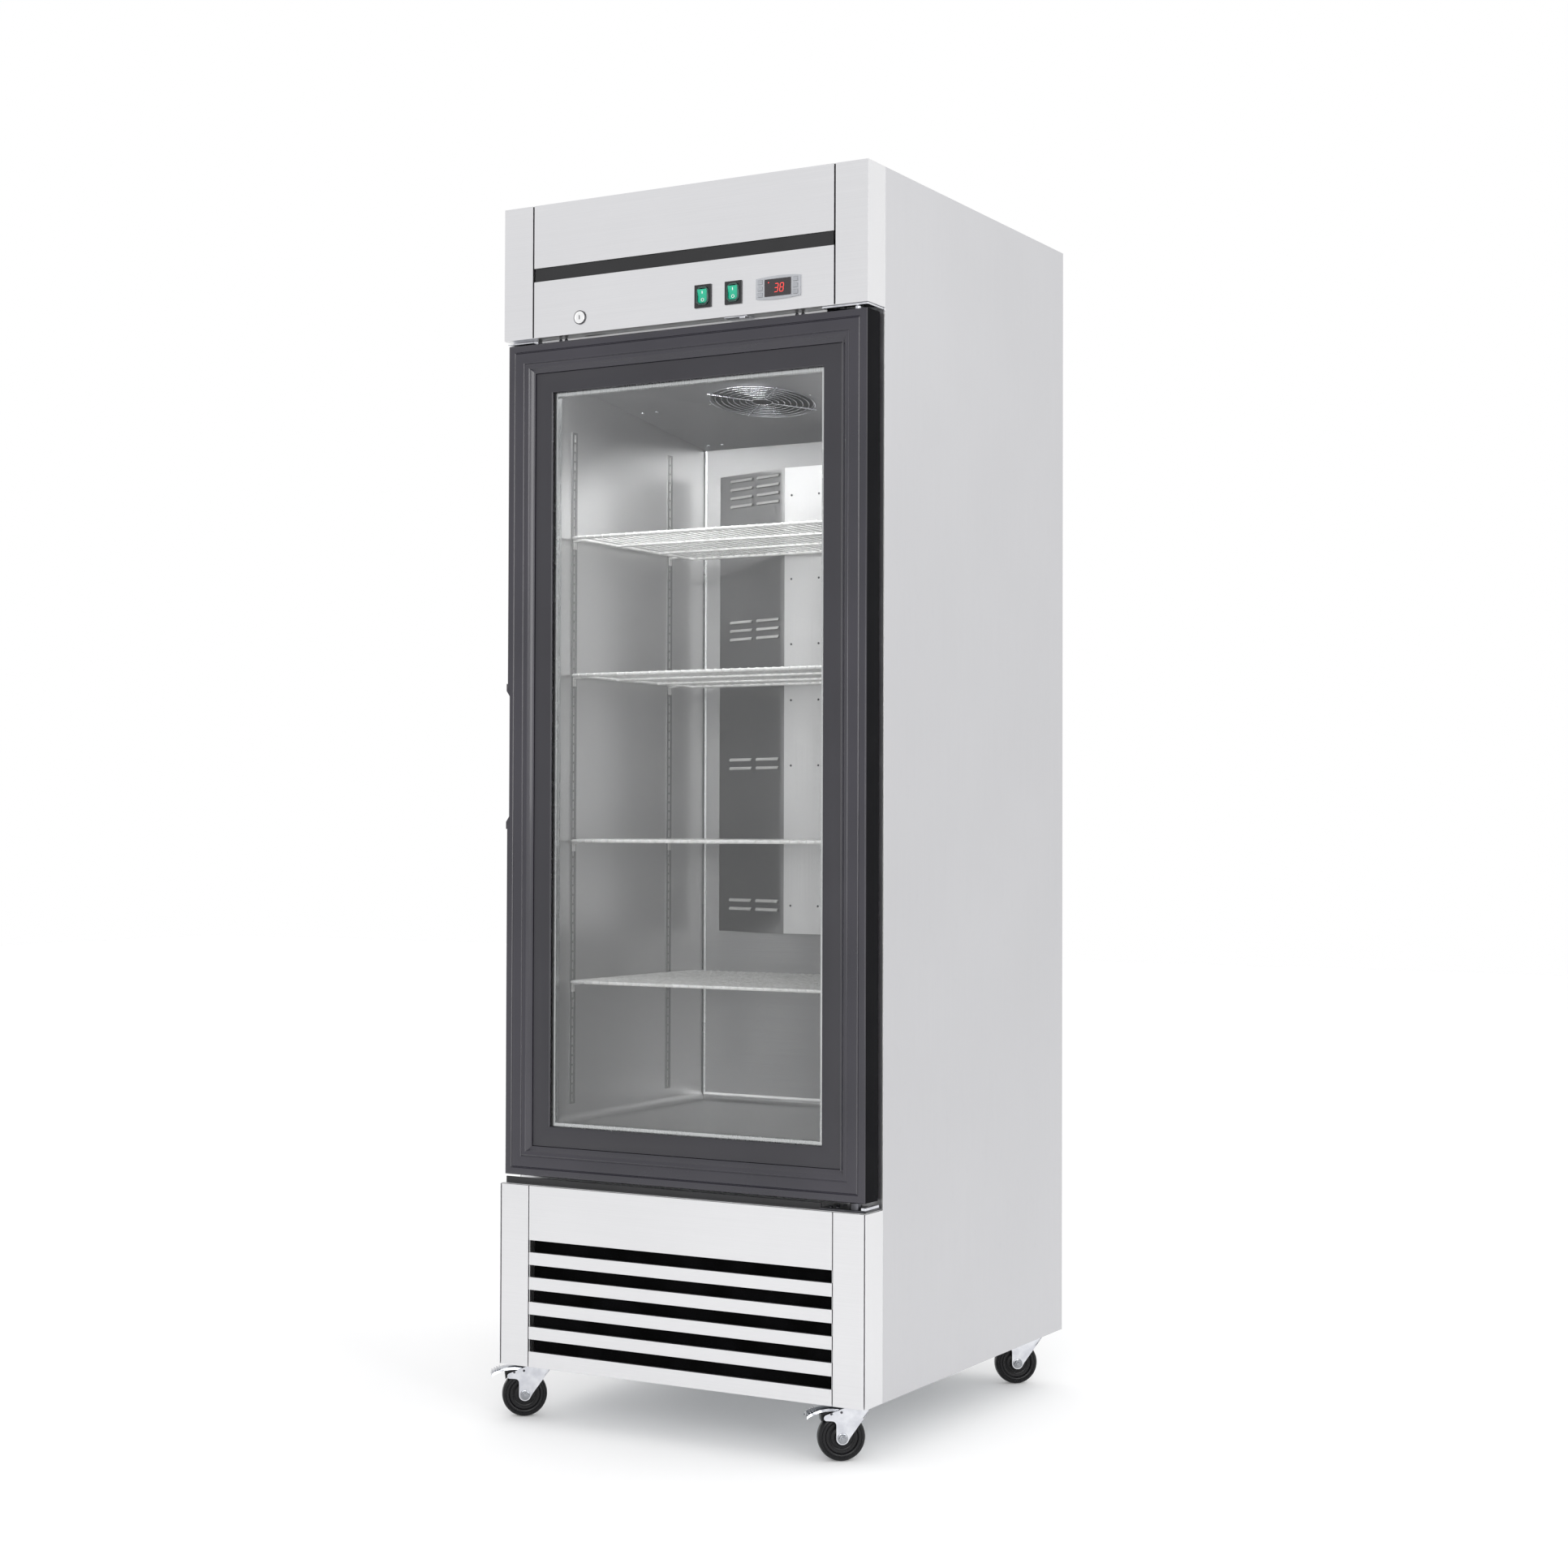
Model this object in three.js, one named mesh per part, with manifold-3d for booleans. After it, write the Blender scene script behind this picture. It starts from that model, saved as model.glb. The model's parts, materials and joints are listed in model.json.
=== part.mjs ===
// A one-door reach-in refrigerator on casters: a foamed cabinet with a stainless
// liner, a header with the controls, a glass door, and a condensing unit behind a
// louvred base. Millimetres, +Z up, the front faces -Y, and Z = 0 is the floor. The
// origin is under the middle of the whole object, with the brake pedals counted in.
import * as THREE from "three";
import { mergeVertices } from "three/addons/utils/BufferGeometryUtils.js";
import Module from "manifold-3d";

// Overall sizes.
const cabinetWidth = 686;
const cabinetDepth = 745;
const cabinetHeight = 1918;

// Skins, insulation and how closely the pieces sit.
const sheet = 1;
const sideWall = 50;
const roofWall = 58;
const rearWall = 60;
const gap = 0.3;
const clearance = 3;

// The header, the door and the base fill the front of the cabinet.
const frontDepth = 57;
const headerHeight = 220;
const baseHeight = 299;
const postWidth = 57;
const flange = 14;

// Header.
const headerSeam = 3;
const upperPanelHeight = 104.5;
const bandHeight = 22.5;
const bandRecess = 1.5;
const bandThickness = 1.5;

// Base.
const baseSeam = 1.6;
const cornerGroove = 3;
const grooveDepth = 8;
const louvreCount = 5;
const louvreHeight = 20;
const louvrePitch = 40.7;
const louvreTop = 208.4;

// Inside of the cabinet.
const floorRise = 91;
const openingDrop = 48;
const headDepth = 50;
const plenumDepth = 125;
const coverFrontDrop = 8;
const coverRearDrop = 66;
const coverThickness = 1.5;
const ductDrop = 117;
const ductRise = 310;
const ductSideGap = 33;
const ductFaceHalf = 92;
const ductDepth = 55;
const ventLength = 56;
const ventHeight = 5;
const ventPitch = 15.5;
const ventRows = [4, 3, 2, 2];
const ventRises = [117, 99, 136, 119];
const backVentHeight = 12;
const backVentPitch = 32;
const backVentInset = 70;

// Shelves.
const shelfPlaces = [0.7865, 0.6016, 0.3794, 0.1905];
const shelfThickness = 5;
const shelfWires = 13;
const shelfRim = 6;
const wireWidth = 5;
const standardWidth = 16;
const standardThickness = 3;
const frontStandardInset = 22;
const rearStandardInset = 62;
const clipThickness = 3;
const clipWidth = 10;
const clipReach = 14;

// Door.
const doorSideGap = 5;
const doorSetback = 5.5;
const doorBottomGap = 14;
const doorTopGap = 8;
const mouldingWidth = 48;
const frameRebate = 64;
const frameInner = 78;
const beadInner = 82;
const beadDepth = 10;
const glassThickness = 4;
const spacerWidth = 11;
const gasketInset = 16;
const gasketWidth = 14;
const handleBottom = 889;
const handleTop = 1123;
const handleDepth = 6;
const handleLip = 3;
const hingePinInset = 20;
const hingePinSetback = 15;
const hingePinRadius = 5;

// Controls: the lock is placed from the left post, the rest from the right post.
const lockInset = 95;
const lockRise = 26;
const lockRadius = 10;
const lockTravel = 40;
const lockDepth = 27;
const camHalf = 6;
const camThickness = 2;
const controlRise = 37;
const controlHeight = 37;
const switchInsets = [240, 183.6];
const switchWidth = 31;
const switchRim = 2;
const controllerInset = 101.5;
const controllerWidth = 80;
const controllerDepth = 42;
const bezelBow = 2.5;
const bezelRim = 3;
const bezelSideRim = 2;
const windowWidth = 50;
const windowHeight = 29;
const keyWidth = 8;
const keyHeight = 6.4;
const keyPitch = 10;

// Casters.
const wheelRadius = 37.5;
const wheelWidth = 24;
const wheelHeadroom = 17;
const casterTrail = 28;
const casterTurn = 38;
const pedalOverhang = 32;
const casterInsetX = 43;
const casterInsetFront = 60;
const casterInsetRear = 38;
const axleRadius = 4;
const forkPlate = 2.5;
const padThickness = 3;
const padHalf = 35;
const stemRadius = 6;

// Condensing unit and evaporator.
const coreWidth = 320;
const coreDepth = 50;
const coreClearance = 33;
const coreLift = 14;
const shroudDepth = 44;
const shroudMargin = 34;
const condenserX = -70;
const compressorY = 430;
const panWidth = 200;
const panDepth = 270;
const panWall = 2;
const panSideGap = 33;
const coolerFanX = -20;
const coolerFanY = 300;
const coolerFanRadius = 84;
const coilSideGap = 63;
const coilDepth = 90;
const coilGap = 30;

const wasm = await Module();
wasm.setup();

// Materials.
function finish(color, roughness, metalness) {
  return new THREE.MeshStandardMaterial({ color, roughness, metalness });
}
const stainless = finish(0xd9dadc, 0.35, 1);
const linerSteel = finish(0xa9aaac, 0.32, 1);
const galvanised = finish(0x9fa3a6, 0.5, 1);
const zinc = finish(0xdfe2e8, 0.18, 1);
const wireCoat = finish(0xe2e2e0, 0.35, 0.2);
const frameBlack = finish(0x3b3942, 0.42, 0);
const blackPlastic = finish(0x121214, 0.5, 0);
const controllerGrey = finish(0xa6a8ad, 0.4, 0);
const keyGrey = finish(0x8e9096, 0.6, 0);
const greenLens = finish(0x12c98a, 0.25, 0);
const gasketBlack = finish(0x18181a, 0.7, 0);
const glass = finish(0xe8f2f0, 0.05, 0);
const spacerBar = finish(0xc9cbcc, 0.3, 1);
const foam = finish(0xd8c690, 0.9, 0);
const treadBlack = finish(0x242426, 0.6, 0);
const compressorBlack = finish(0x17171a, 0.5, 0);
const aluminium = finish(0xb9bcc0, 0.4, 1);
const lockWhite = finish(0xeceded, 0.3, 0.3);

// A closed geometry as a solid.
function solid(geometry) {
  const bare = geometry.index ? geometry.toNonIndexed() : geometry.clone();
  bare.deleteAttribute("normal");
  bare.deleteAttribute("uv");
  const merged = mergeVertices(bare, 1e-4);
  return new wasm.Manifold(
    new wasm.Mesh({
      numProp: 3,
      vertProperties: merged.attributes.position.array,
      triVerts: new Uint32Array(merged.index.array),
    }),
  );
}

// A solid's triangles as a geometry.
function geometryOf(made) {
  const { vertProperties, triVerts } = made.getMesh();
  const geometry = new THREE.BufferGeometry();
  geometry.setAttribute("position", new THREE.BufferAttribute(vertProperties, 3));
  geometry.setIndex(new THREE.BufferAttribute(triVerts, 1));
  geometry.computeVertexNormals();
  return geometry;
}

// A box between two corners, given axis by axis.
function block(x0, x1, y0, y1, z0, z1) {
  const geometry = new THREE.BoxGeometry(x1 - x0, y1 - y0, z1 - z0);
  return solid(geometry.translate((x0 + x1) / 2, (y0 + y1) / 2, (z0 + z1) / 2));
}

// A box as wide on both sides of the centre line.
function span(half, y0, y1, z0, z1) {
  return block(-half, half, y0, y1, z0, z1);
}

function join(...solids) {
  return solids.reduce((whole, next) => whole.add(next));
}

function outline(points) {
  return new THREE.Shape(points.map(([x, y]) => new THREE.Vector2(x, y)));
}

// An outline in X and Z, thick from y0 to y1.
function plateXZ(shape, y0, y1, curveSegments = 6) {
  const options = { depth: y1 - y0, bevelEnabled: false, curveSegments };
  const geometry = new THREE.ExtrudeGeometry(shape, options);
  return solid(geometry.rotateX(Math.PI / 2).translate(0, y1, 0));
}

// An outline in X and Y, thick from z0 to z1.
function plateXY(shape, z0, z1, curveSegments = 6) {
  const options = { depth: z1 - z0, bevelEnabled: false, curveSegments };
  const geometry = new THREE.ExtrudeGeometry(shape, options);
  return solid(geometry.translate(0, 0, z0));
}

// An outline in Y and Z, thick from x0 to x1.
function plateYZ(shape, x0, x1, curveSegments = 6) {
  const options = { depth: x1 - x0, bevelEnabled: false, curveSegments };
  const geometry = new THREE.ExtrudeGeometry(shape, options);
  geometry.rotateX(Math.PI / 2).rotateZ(Math.PI / 2);
  return solid(geometry.translate(x0, 0, 0));
}

// A round bar along Y or Z.
function rodY(radius, x, y0, y1, z, segments = 24) {
  const geometry = new THREE.CylinderGeometry(radius, radius, y1 - y0, segments);
  return solid(geometry.translate(x, (y0 + y1) / 2, z));
}
function rodZ(radius, x, y, z0, z1, segments = 24) {
  const geometry = new THREE.CylinderGeometry(radius, radius, z1 - z0, segments);
  return solid(geometry.rotateX(Math.PI / 2).translate(x, y, (z0 + z1) / 2));
}

// A profile of [radius, height] turned about Y.
function turned(profile, segments) {
  const points = profile.map(([radius, height]) => new THREE.Vector2(radius, height));
  return new THREE.LatheGeometry(points, segments);
}

// A closed profile of [inset from the edge, y], carried round a rectangle with mitred corners.
function mitredRing(profile, half, z0, z1) {
  const corners = [
    [-1, z0, 1],
    [1, z0, 1],
    [1, z1, -1],
    [-1, z1, -1],
  ];
  const positions = [];
  for (const [side, edge, inward] of corners) {
    for (const [inset, y] of profile) {
      positions.push(side * (half - inset), y, edge + inward * inset);
    }
  }
  const count = profile.length;
  const index = [];
  for (let corner = 0; corner < 4; corner++) {
    const next = (corner + 1) % 4;
    for (let i = 0; i < count; i++) {
      const j = (i + 1) % count;
      const a = corner * count + i;
      const b = corner * count + j;
      const c = next * count + j;
      const d = next * count + i;
      index.push(a, c, b, a, d, c);
    }
  }
  const geometry = new THREE.BufferGeometry();
  geometry.setAttribute("position", new THREE.Float32BufferAttribute(positions, 3));
  geometry.setIndex(index);
  return solid(geometry);
}

// Everything fixed to the cabinet is placed from the front plane and the underside of the base.
const casterHeight = 2 * wheelRadius + wheelHeadroom;
const refrigerator = new THREE.Group();
const cabinet = new THREE.Group();
cabinet.position.set(pedalOverhang / 2, -cabinetDepth / 2, casterHeight);
refrigerator.add(cabinet);

function piece(name, made, material, parent = cabinet) {
  const mesh = new THREE.Mesh(geometryOf(made), material);
  mesh.name = name;
  parent.add(mesh);
  return mesh;
}

// Limits that several pieces share.
const half = cabinetWidth / 2;
const inHalf = half - sheet - gap;
const linerHalf = half - sideWall;
const linerRoof = cabinetHeight - roofWall;
const linerBack = cabinetDepth - rearWall;
const plenumFace = linerBack - plenumDepth;
const headerBottom = cabinetHeight - headerHeight;
const floorLevel = baseHeight + floorRise;
const openingTop = headerBottom - openingDrop;
const coverFrontLevel = openingTop - coverFrontDrop;
const coverRearLevel = openingTop - coverRearDrop;
const ductTop = openingTop - ductDrop;
const ductBottom = floorLevel + ductRise;
const ductBaseHalf = linerHalf - ductSideGap;
const shelfLevels = shelfPlaces.map((place) => {
  return floorLevel + Math.round(place * (openingTop - floorLevel));
});
const doorBottom = baseHeight + doorBottomGap;
const doorTop = headerBottom - doorTopGap;
const headY = frontDepth + headDepth;
const rearY = cabinetDepth - sheet;
const lockX = -half + postWidth + lockInset;
const lockLevel = headerBottom + lockRise;
const controlLevel = headerBottom + controlRise;
const switchXs = switchInsets.map((inset) => half - postWidth - inset);
const controllerX = half - postWidth - controllerInset;

// Outer skins.
function makeSkins() {
  for (const [name, side] of [["side_panel_left", -1], ["side_panel_right", 1]]) {
    const inner = side * (half - sheet);
    const outer = side * half;
    const [x0, x1] = [Math.min(inner, outer), Math.max(inner, outer)];
    piece(name, block(x0, x1, frontDepth, cabinetDepth, 0, cabinetHeight), stainless);
  }
  const top = span(inHalf, sheet + gap, cabinetDepth, cabinetHeight - sheet, cabinetHeight);
  piece("top_panel", top, stainless);

  // The back is one sheet, louvred across the machine compartment.
  let back = span(inHalf, rearY, cabinetDepth, 0, cabinetHeight - sheet - gap);
  const ventHalf = inHalf - backVentInset;
  const firstVent = inletSeat.z + inletSeat.height / 2 + 15;
  for (let low = firstVent; low < baseHeight - backVentPitch; low += backVentPitch) {
    const high = low + backVentHeight;
    back = back.subtract(span(ventHalf, rearY - 1, cabinetDepth + 1, low, high));
  }
  const { x, z, width, height } = inletSeat;
  const [w, h] = [width / 2 + gap, height / 2 + gap];
  const hole = block(x - w, x + w, rearY - 1, cabinetDepth + 1, z - h, z + h);
  piece("back_panel", back.subtract(hole), galvanised);
}

// The mains inlet sits in the back, under the louvres on the right.
const inletSeat = { x: half - 103, z: 32, width: 44, height: 26, depth: 30, lip: 3 };
function makeInlet() {
  const { x, z, width, height, depth, lip } = inletSeat;
  const [w, h] = [width / 2, height / 2];
  const inner = rearY - depth;
  const body = block(x - w, x + w, inner, cabinetDepth + gap + 1, z - h, z + h);
  const [fw, fh] = [w + lip, h + lip];
  const face = cabinetDepth + gap;
  const plate = block(x - fw, x + fw, face, face + 2, z - fh, z + fh);
  const socket = block(x - 12, x + 12, cabinetDepth - 18, face + 3, z - 8, z + 8);
  let made = join(body, plate).subtract(socket);
  for (const pin of [-7, 0, 7]) {
    const blade = block(x + pin - 1, x + pin + 1, cabinetDepth - 19, cabinetDepth - 4, z - 3, z + 3);
    made = made.add(blade);
  }
  piece("power_inlet", made, blackPlastic);
}

// The foam fills the space between the skins and the liner.
function makeInsulation() {
  const zTop = cabinetHeight - sheet - gap;
  const front = frontDepth + sheet + gap;
  const filled = span(inHalf, front, rearY - gap, baseHeight + 2, zTop);
  const fit = linerHalf + sheet + gap;
  const low = floorLevel - sheet - gap;
  const chamberRear = linerBack + sheet + gap;
  const lintel = openingTop + sheet + gap;
  const chamber = span(fit, front - 1, chamberRear, low, lintel);
  const loft = span(fit, headY - sheet - gap, chamberRear, low, linerRoof + sheet + gap);
  piece("insulation", filled.subtract(chamber).subtract(loft), foam);
}

// A thin box open to the front below the lintel, and closed above it.
function makeLiner() {
  const front = frontDepth + sheet + gap;
  const outer = join(
    span(linerHalf + sheet, front, linerBack + sheet, floorLevel - sheet, openingTop + sheet),
    span(linerHalf + sheet, headY - sheet, linerBack + sheet, openingTop, linerRoof + sheet),
  );
  const inner = join(
    span(linerHalf, front - 1, linerBack, floorLevel, openingTop),
    span(linerHalf, headY, linerBack, openingTop - 1, linerRoof),
  );
  piece("liner", outer.subtract(inner), linerSteel);
}

// The front frame closes the foam around the opening, and folds forward as the
// underside of the header and the top of the base.
function makeFaceFrame() {
  const zTop = cabinetHeight - sheet - gap;
  const skin = span(inHalf, frontDepth, frontDepth + sheet, baseHeight - sheet, zTop);
  const opening = span(linerHalf, frontDepth - 1, frontDepth + 2, floorLevel, openingTop);
  const underside = span(inHalf, sheet + gap, frontDepth + sheet, headerBottom, headerBottom + sheet);
  const ledge = span(inHalf, sheet + gap, frontDepth + sheet, baseHeight - sheet, baseHeight);
  const reach = Math.sqrt(lockTravel ** 2 - (lockLevel - headerBottom - sheet) ** 2);
  const [k0, k1] = [lockX - camRoom.side, lockX + reach + 2];
  const [low, high] = [headerBottom - 1, headerBottom + sheet + 1];
  const slot = block(k0, k1, camRoom.front, camRoom.back, low, high);
  const made = join(skin.subtract(opening), underside, ledge).subtract(slot);
  piece("face_frame", made, stainless);
}

// A header post is a corner sheet with a lip folded in beside the seam.
function makeHeaderPosts() {
  for (const [name, side] of [["header_post_left", -1], ["header_post_right", 1]]) {
    const section = outline([
      [side * half, 0],
      [side * half, frontDepth - gap],
      [side * (half - sheet), frontDepth - gap],
      [side * (half - sheet), sheet],
      [side * (half - postWidth + sheet), sheet],
      [side * (half - postWidth + sheet), flange],
      [side * (half - postWidth), flange],
      [side * (half - postWidth), 0],
    ]);
    const post = plateXY(section, headerBottom, cabinetHeight).subtract(lidSlot());
    piece(name, post.subtract(undersideSlot()), stainless);
  }
}

// Room for the top panel and for the header's underside behind the header's faces.
function lidSlot() {
  const low = cabinetHeight - sheet - gap;
  return span(half - sheet, sheet + gap / 2, frontDepth, low, cabinetHeight + 1);
}
function undersideSlot() {
  const high = headerBottom + sheet + gap;
  return span(half - sheet, sheet + gap / 2, frontDepth, headerBottom - 1, high);
}

const headerPanelHalf = half - postWidth - headerSeam;
const bandBottom = cabinetHeight - upperPanelHeight - bandHeight;

// A flat face between z0 and z1 with its two ends folded back.
function foldedPanel(panelHalf, z0, z1) {
  const face = span(panelHalf, 0, sheet, z0, z1);
  const left = block(-panelHalf, -panelHalf + sheet, 0, flange, z0, z1);
  const right = block(panelHalf - sheet, panelHalf, 0, flange, z0, z1);
  return join(face, left, right);
}

function makeHeaderPanels() {
  const upperBottom = cabinetHeight - upperPanelHeight;
  const upper = foldedPanel(headerPanelHalf, upperBottom, cabinetHeight);
  piece("header_upper_panel", upper.subtract(lidSlot()), stainless);

  const bandHalf = headerPanelHalf - sheet - gap;
  const bandBack = bandRecess + bandThickness;
  const band = span(bandHalf, bandRecess, bandBack, bandBottom + gap, upperBottom - gap);
  piece("header_band", band, blackPlastic);

  // The control panel is pierced for the lock, the switches and the controller.
  let panel = foldedPanel(headerPanelHalf, headerBottom, bandBottom).subtract(undersideSlot());
  panel = panel.subtract(rodY(lockRadius - 2 + gap, lockX, -1, 2, lockLevel));
  for (const x of switchXs) {
    const w = switchWidth / 2 - switchRim + gap;
    const h = controlHeight / 2 - switchRim + gap;
    panel = panel.subtract(block(x - w, x + w, -1, 2, controlLevel - h, controlLevel + h));
  }
  const w = controllerWidth / 2 - bezelSideRim + gap;
  const h = controlHeight / 2 - bezelRim + gap;
  const [x0, x1] = [controllerX - w, controllerX + w];
  panel = panel.subtract(block(x0, x1, -1, 2, controlLevel - h, controlLevel + h));
  piece("control_panel", panel, stainless);
}

// The lock drops its cam through the header's underside into the door.
const camFront = lockDepth - camThickness - 1;
const camRoom = { front: camFront - camThickness, back: lockDepth + 3, side: camHalf + 2 };
function makeLock() {
  const face = rodY(lockRadius, lockX, -gap - 2, -gap, lockLevel);
  const barrel = rodY(lockRadius - 2, lockX, -gap - 1, lockDepth, lockLevel);
  const keyway = block(lockX - 0.8, lockX + 0.8, -gap - 3, 6, lockLevel - 3.5, lockLevel + 3.5);
  const [low, high] = [lockLevel - camHalf, lockLevel + camHalf];
  const bar = block(lockX, lockX + lockTravel, camFront, camFront + camThickness, low, high);
  const round = rodY(lockTravel, lockX, camFront - 1, lockDepth, lockLevel, 48);
  const made = join(face, barrel, bar.intersect(round)).subtract(keyway);
  piece("lock_barrel", made, lockWhite);
}

// A rocker switch: a hollow housing with a rocker that tips about X.
function makeSwitch(name, x) {
  const [w, h] = [switchWidth / 2, controlHeight / 2];
  const rim = block(x - w, x + w, -gap - 2, -gap, controlLevel - h, controlLevel + h);
  const [bw, bh] = [w - switchRim, h - switchRim];
  const box = block(x - bw, x + bw, -gap - 1, 24, controlLevel - bh, controlLevel + bh);
  const [cw, ch] = [w - 6, h - 5.5];
  const cup = block(x - cw, x + cw, -gap - 3, 16, controlLevel - ch, controlLevel + ch);
  piece(`${name}_housing`, join(rim, box).subtract(cup), blackPlastic);

  // The rocker's face is two flats that meet in a shallow vee at the pivot.
  const tall = ch - 2.2;
  const proud = -gap - 4.5;
  const section = outline([
    [proud + 3.2, controlLevel - tall],
    [-gap - 1, controlLevel],
    [proud, controlLevel + tall],
    [3.5, controlLevel + tall - 1],
    [8, controlLevel + 4],
    [8, controlLevel - 4],
    [5.5, controlLevel - tall + 1],
  ]);
  const rocker = plateYZ(section, x - cw + gap, x + cw - gap);
  piece(`${name}_rocker`, rocker, greenLens);
}

// The controller is a bowed bezel with a boxed body, a window and six keys.
function makeController() {
  // A box centred on the controller.
  const centred = (w, h, y0, y1) => {
    const [x0, x1] = [controllerX - w, controllerX + w];
    return block(x0, x1, y0, y1, controlLevel - h, controlLevel + h);
  };
  const w = controllerWidth / 2;
  const h = controlHeight / 2;
  const front = -gap - 2.4;
  const shape = new THREE.Shape();
  shape.moveTo(-w, -h + bezelBow);
  shape.quadraticCurveTo(0, -h - bezelBow, w, -h + bezelBow);
  shape.lineTo(w, h - bezelBow);
  shape.quadraticCurveTo(0, h + bezelBow, -w, h - bezelBow);
  const bezel = plateXZ(shape, front, -gap, 8).translate([controllerX, 0, controlLevel]);
  const [bodyW, bodyH] = [w - bezelSideRim, h - bezelRim];
  const [roomW, roomH] = [bodyW - 1.5, bodyH - 1.5];
  const [screenW, screenH] = [windowWidth / 2 + 0.6, windowHeight / 2 - 4];
  const body = centred(bodyW, bodyH, -gap - 1, controllerDepth);
  const room = centred(roomW, roomH, 0.4, 4);
  const screen = centred(screenW, screenH, -gap - 1, 5);
  const window = centred(windowWidth / 2, windowHeight / 2, front - 1, front + 0.6);
  let housing = join(bezel, body).subtract(room).add(screen).subtract(window);

  // The keys are moulded on one silicone sheet that frames the screen.
  const slip = 0.6;
  let keypad = centred(roomW - slip, roomH - slip, 0.7, 1.9);
  keypad = keypad.subtract(centred(screenW + slip, screenH + slip, 0, 3));
  const keyX = (windowWidth / 2 + w) / 2 - slip;
  const [kw, kh] = [keyWidth / 2, keyHeight / 2];
  for (const side of [-1, 1]) {
    for (const row of [-1, 0, 1]) {
      const x = controllerX + side * keyX;
      const z = controlLevel + row * keyPitch;
      const [x0, x1, z0, z1] = [x - kw, x + kw, z - kh, z + kh];
      const well = block(x0 - gap, x1 + gap, front - 1, 1, z0 - gap, z1 + gap);
      housing = housing.subtract(well);
      keypad = keypad.add(block(x0, x1, front - 0.8, 1, z0, z1));
    }
  }
  piece("controller", housing, controllerGrey);
  piece("controller_keypad", keypad, keyGrey);
}

// A base post has a groove down its front corner.
function makeBasePosts() {
  for (const [name, side] of [["base_post_left", -1], ["base_post_right", 1]]) {
    const turn = half - cornerGroove;
    const section = outline([
      [side * half, 0],
      [side * half, frontDepth - gap],
      [side * (half - sheet), frontDepth - gap],
      [side * (half - sheet), grooveDepth + sheet],
      [side * (turn - sheet), grooveDepth + sheet],
      [side * (turn - sheet), sheet],
      [side * (half - postWidth + sheet), sheet],
      [side * (half - postWidth + sheet), flange],
      [side * (half - postWidth), flange],
      [side * (half - postWidth), 0],
      [side * turn, 0],
      [side * turn, grooveDepth],
      [side * (half - sheet), grooveDepth],
      [side * (half - sheet), 0],
    ]);
    piece(name, plateXY(section, 0, baseHeight - sheet - gap), stainless);
  }
}

// The grille's bars run from end to end, held by the folded ends.
function makeGrille() {
  const grilleHalf = half - postWidth - baseSeam;
  let grille = foldedPanel(grilleHalf, 0, baseHeight - sheet - gap);
  for (let i = 0; i < louvreCount; i++) {
    const high = louvreTop - i * louvrePitch;
    const low = high - louvreHeight;
    grille = grille.subtract(span(grilleHalf + 1, -1, sheet + 0.5, low, high));
    grille = grille.add(span(grilleHalf, 0, flange / 2, high, high + sheet));
    grille = grille.add(span(grilleHalf, 0, flange / 2, low - sheet, low));
  }
  piece("base_grille", grille, stainless);
}

// The base pan carries the casters on four pads.
const casterSpots = [
  ["front_left", -half + casterInsetX, casterInsetFront],
  ["front_right", half - casterInsetX, casterInsetFront],
  ["rear_left", -half + casterInsetX, cabinetDepth - casterInsetRear],
  ["rear_right", half - casterInsetX, cabinetDepth - casterInsetRear],
];
function makeChassis() {
  const [y0, y1] = [frontDepth + sheet + gap, rearY - gap];
  let chassis = span(inHalf, y0, y1, 0, 2);
  chassis = chassis.add(span(inHalf, flange + 1, y0 + 1, 0, 2));
  chassis = chassis.add(block(-inHalf, -inHalf + 2, y0, y1, 0, 30));
  chassis = chassis.add(block(inHalf - 2, inHalf, y0, y1, 0, 30));
  for (const [, x, y] of casterSpots) {
    chassis = chassis.add(block(x - padHalf, x + padHalf, y - padHalf, y + padHalf, -padThickness, 2));
    chassis = chassis.subtract(rodZ(stemRadius + 0.5, x, y, -padThickness - 1, 3));
  }
  piece("chassis", chassis, galvanised);
}

// A hub with flat blades set at an angle, spinning about Y or Z.
function fanBlades(radius, hubRadius, width, blades, depth) {
  const hub = solid(new THREE.CylinderGeometry(hubRadius, hubRadius, depth, 20));
  const reach = radius - hubRadius + 3;
  let wheel = hub;
  for (let i = 0; i < blades; i++) {
    const blade = new THREE.BoxGeometry(reach, 1.2, width);
    blade.rotateX(0.42).translate(hubRadius - 3 + reach / 2, 0, 0);
    wheel = wheel.add(solid(blade.rotateY((i * 2 * Math.PI) / blades)));
  }
  return wheel;
}

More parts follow.
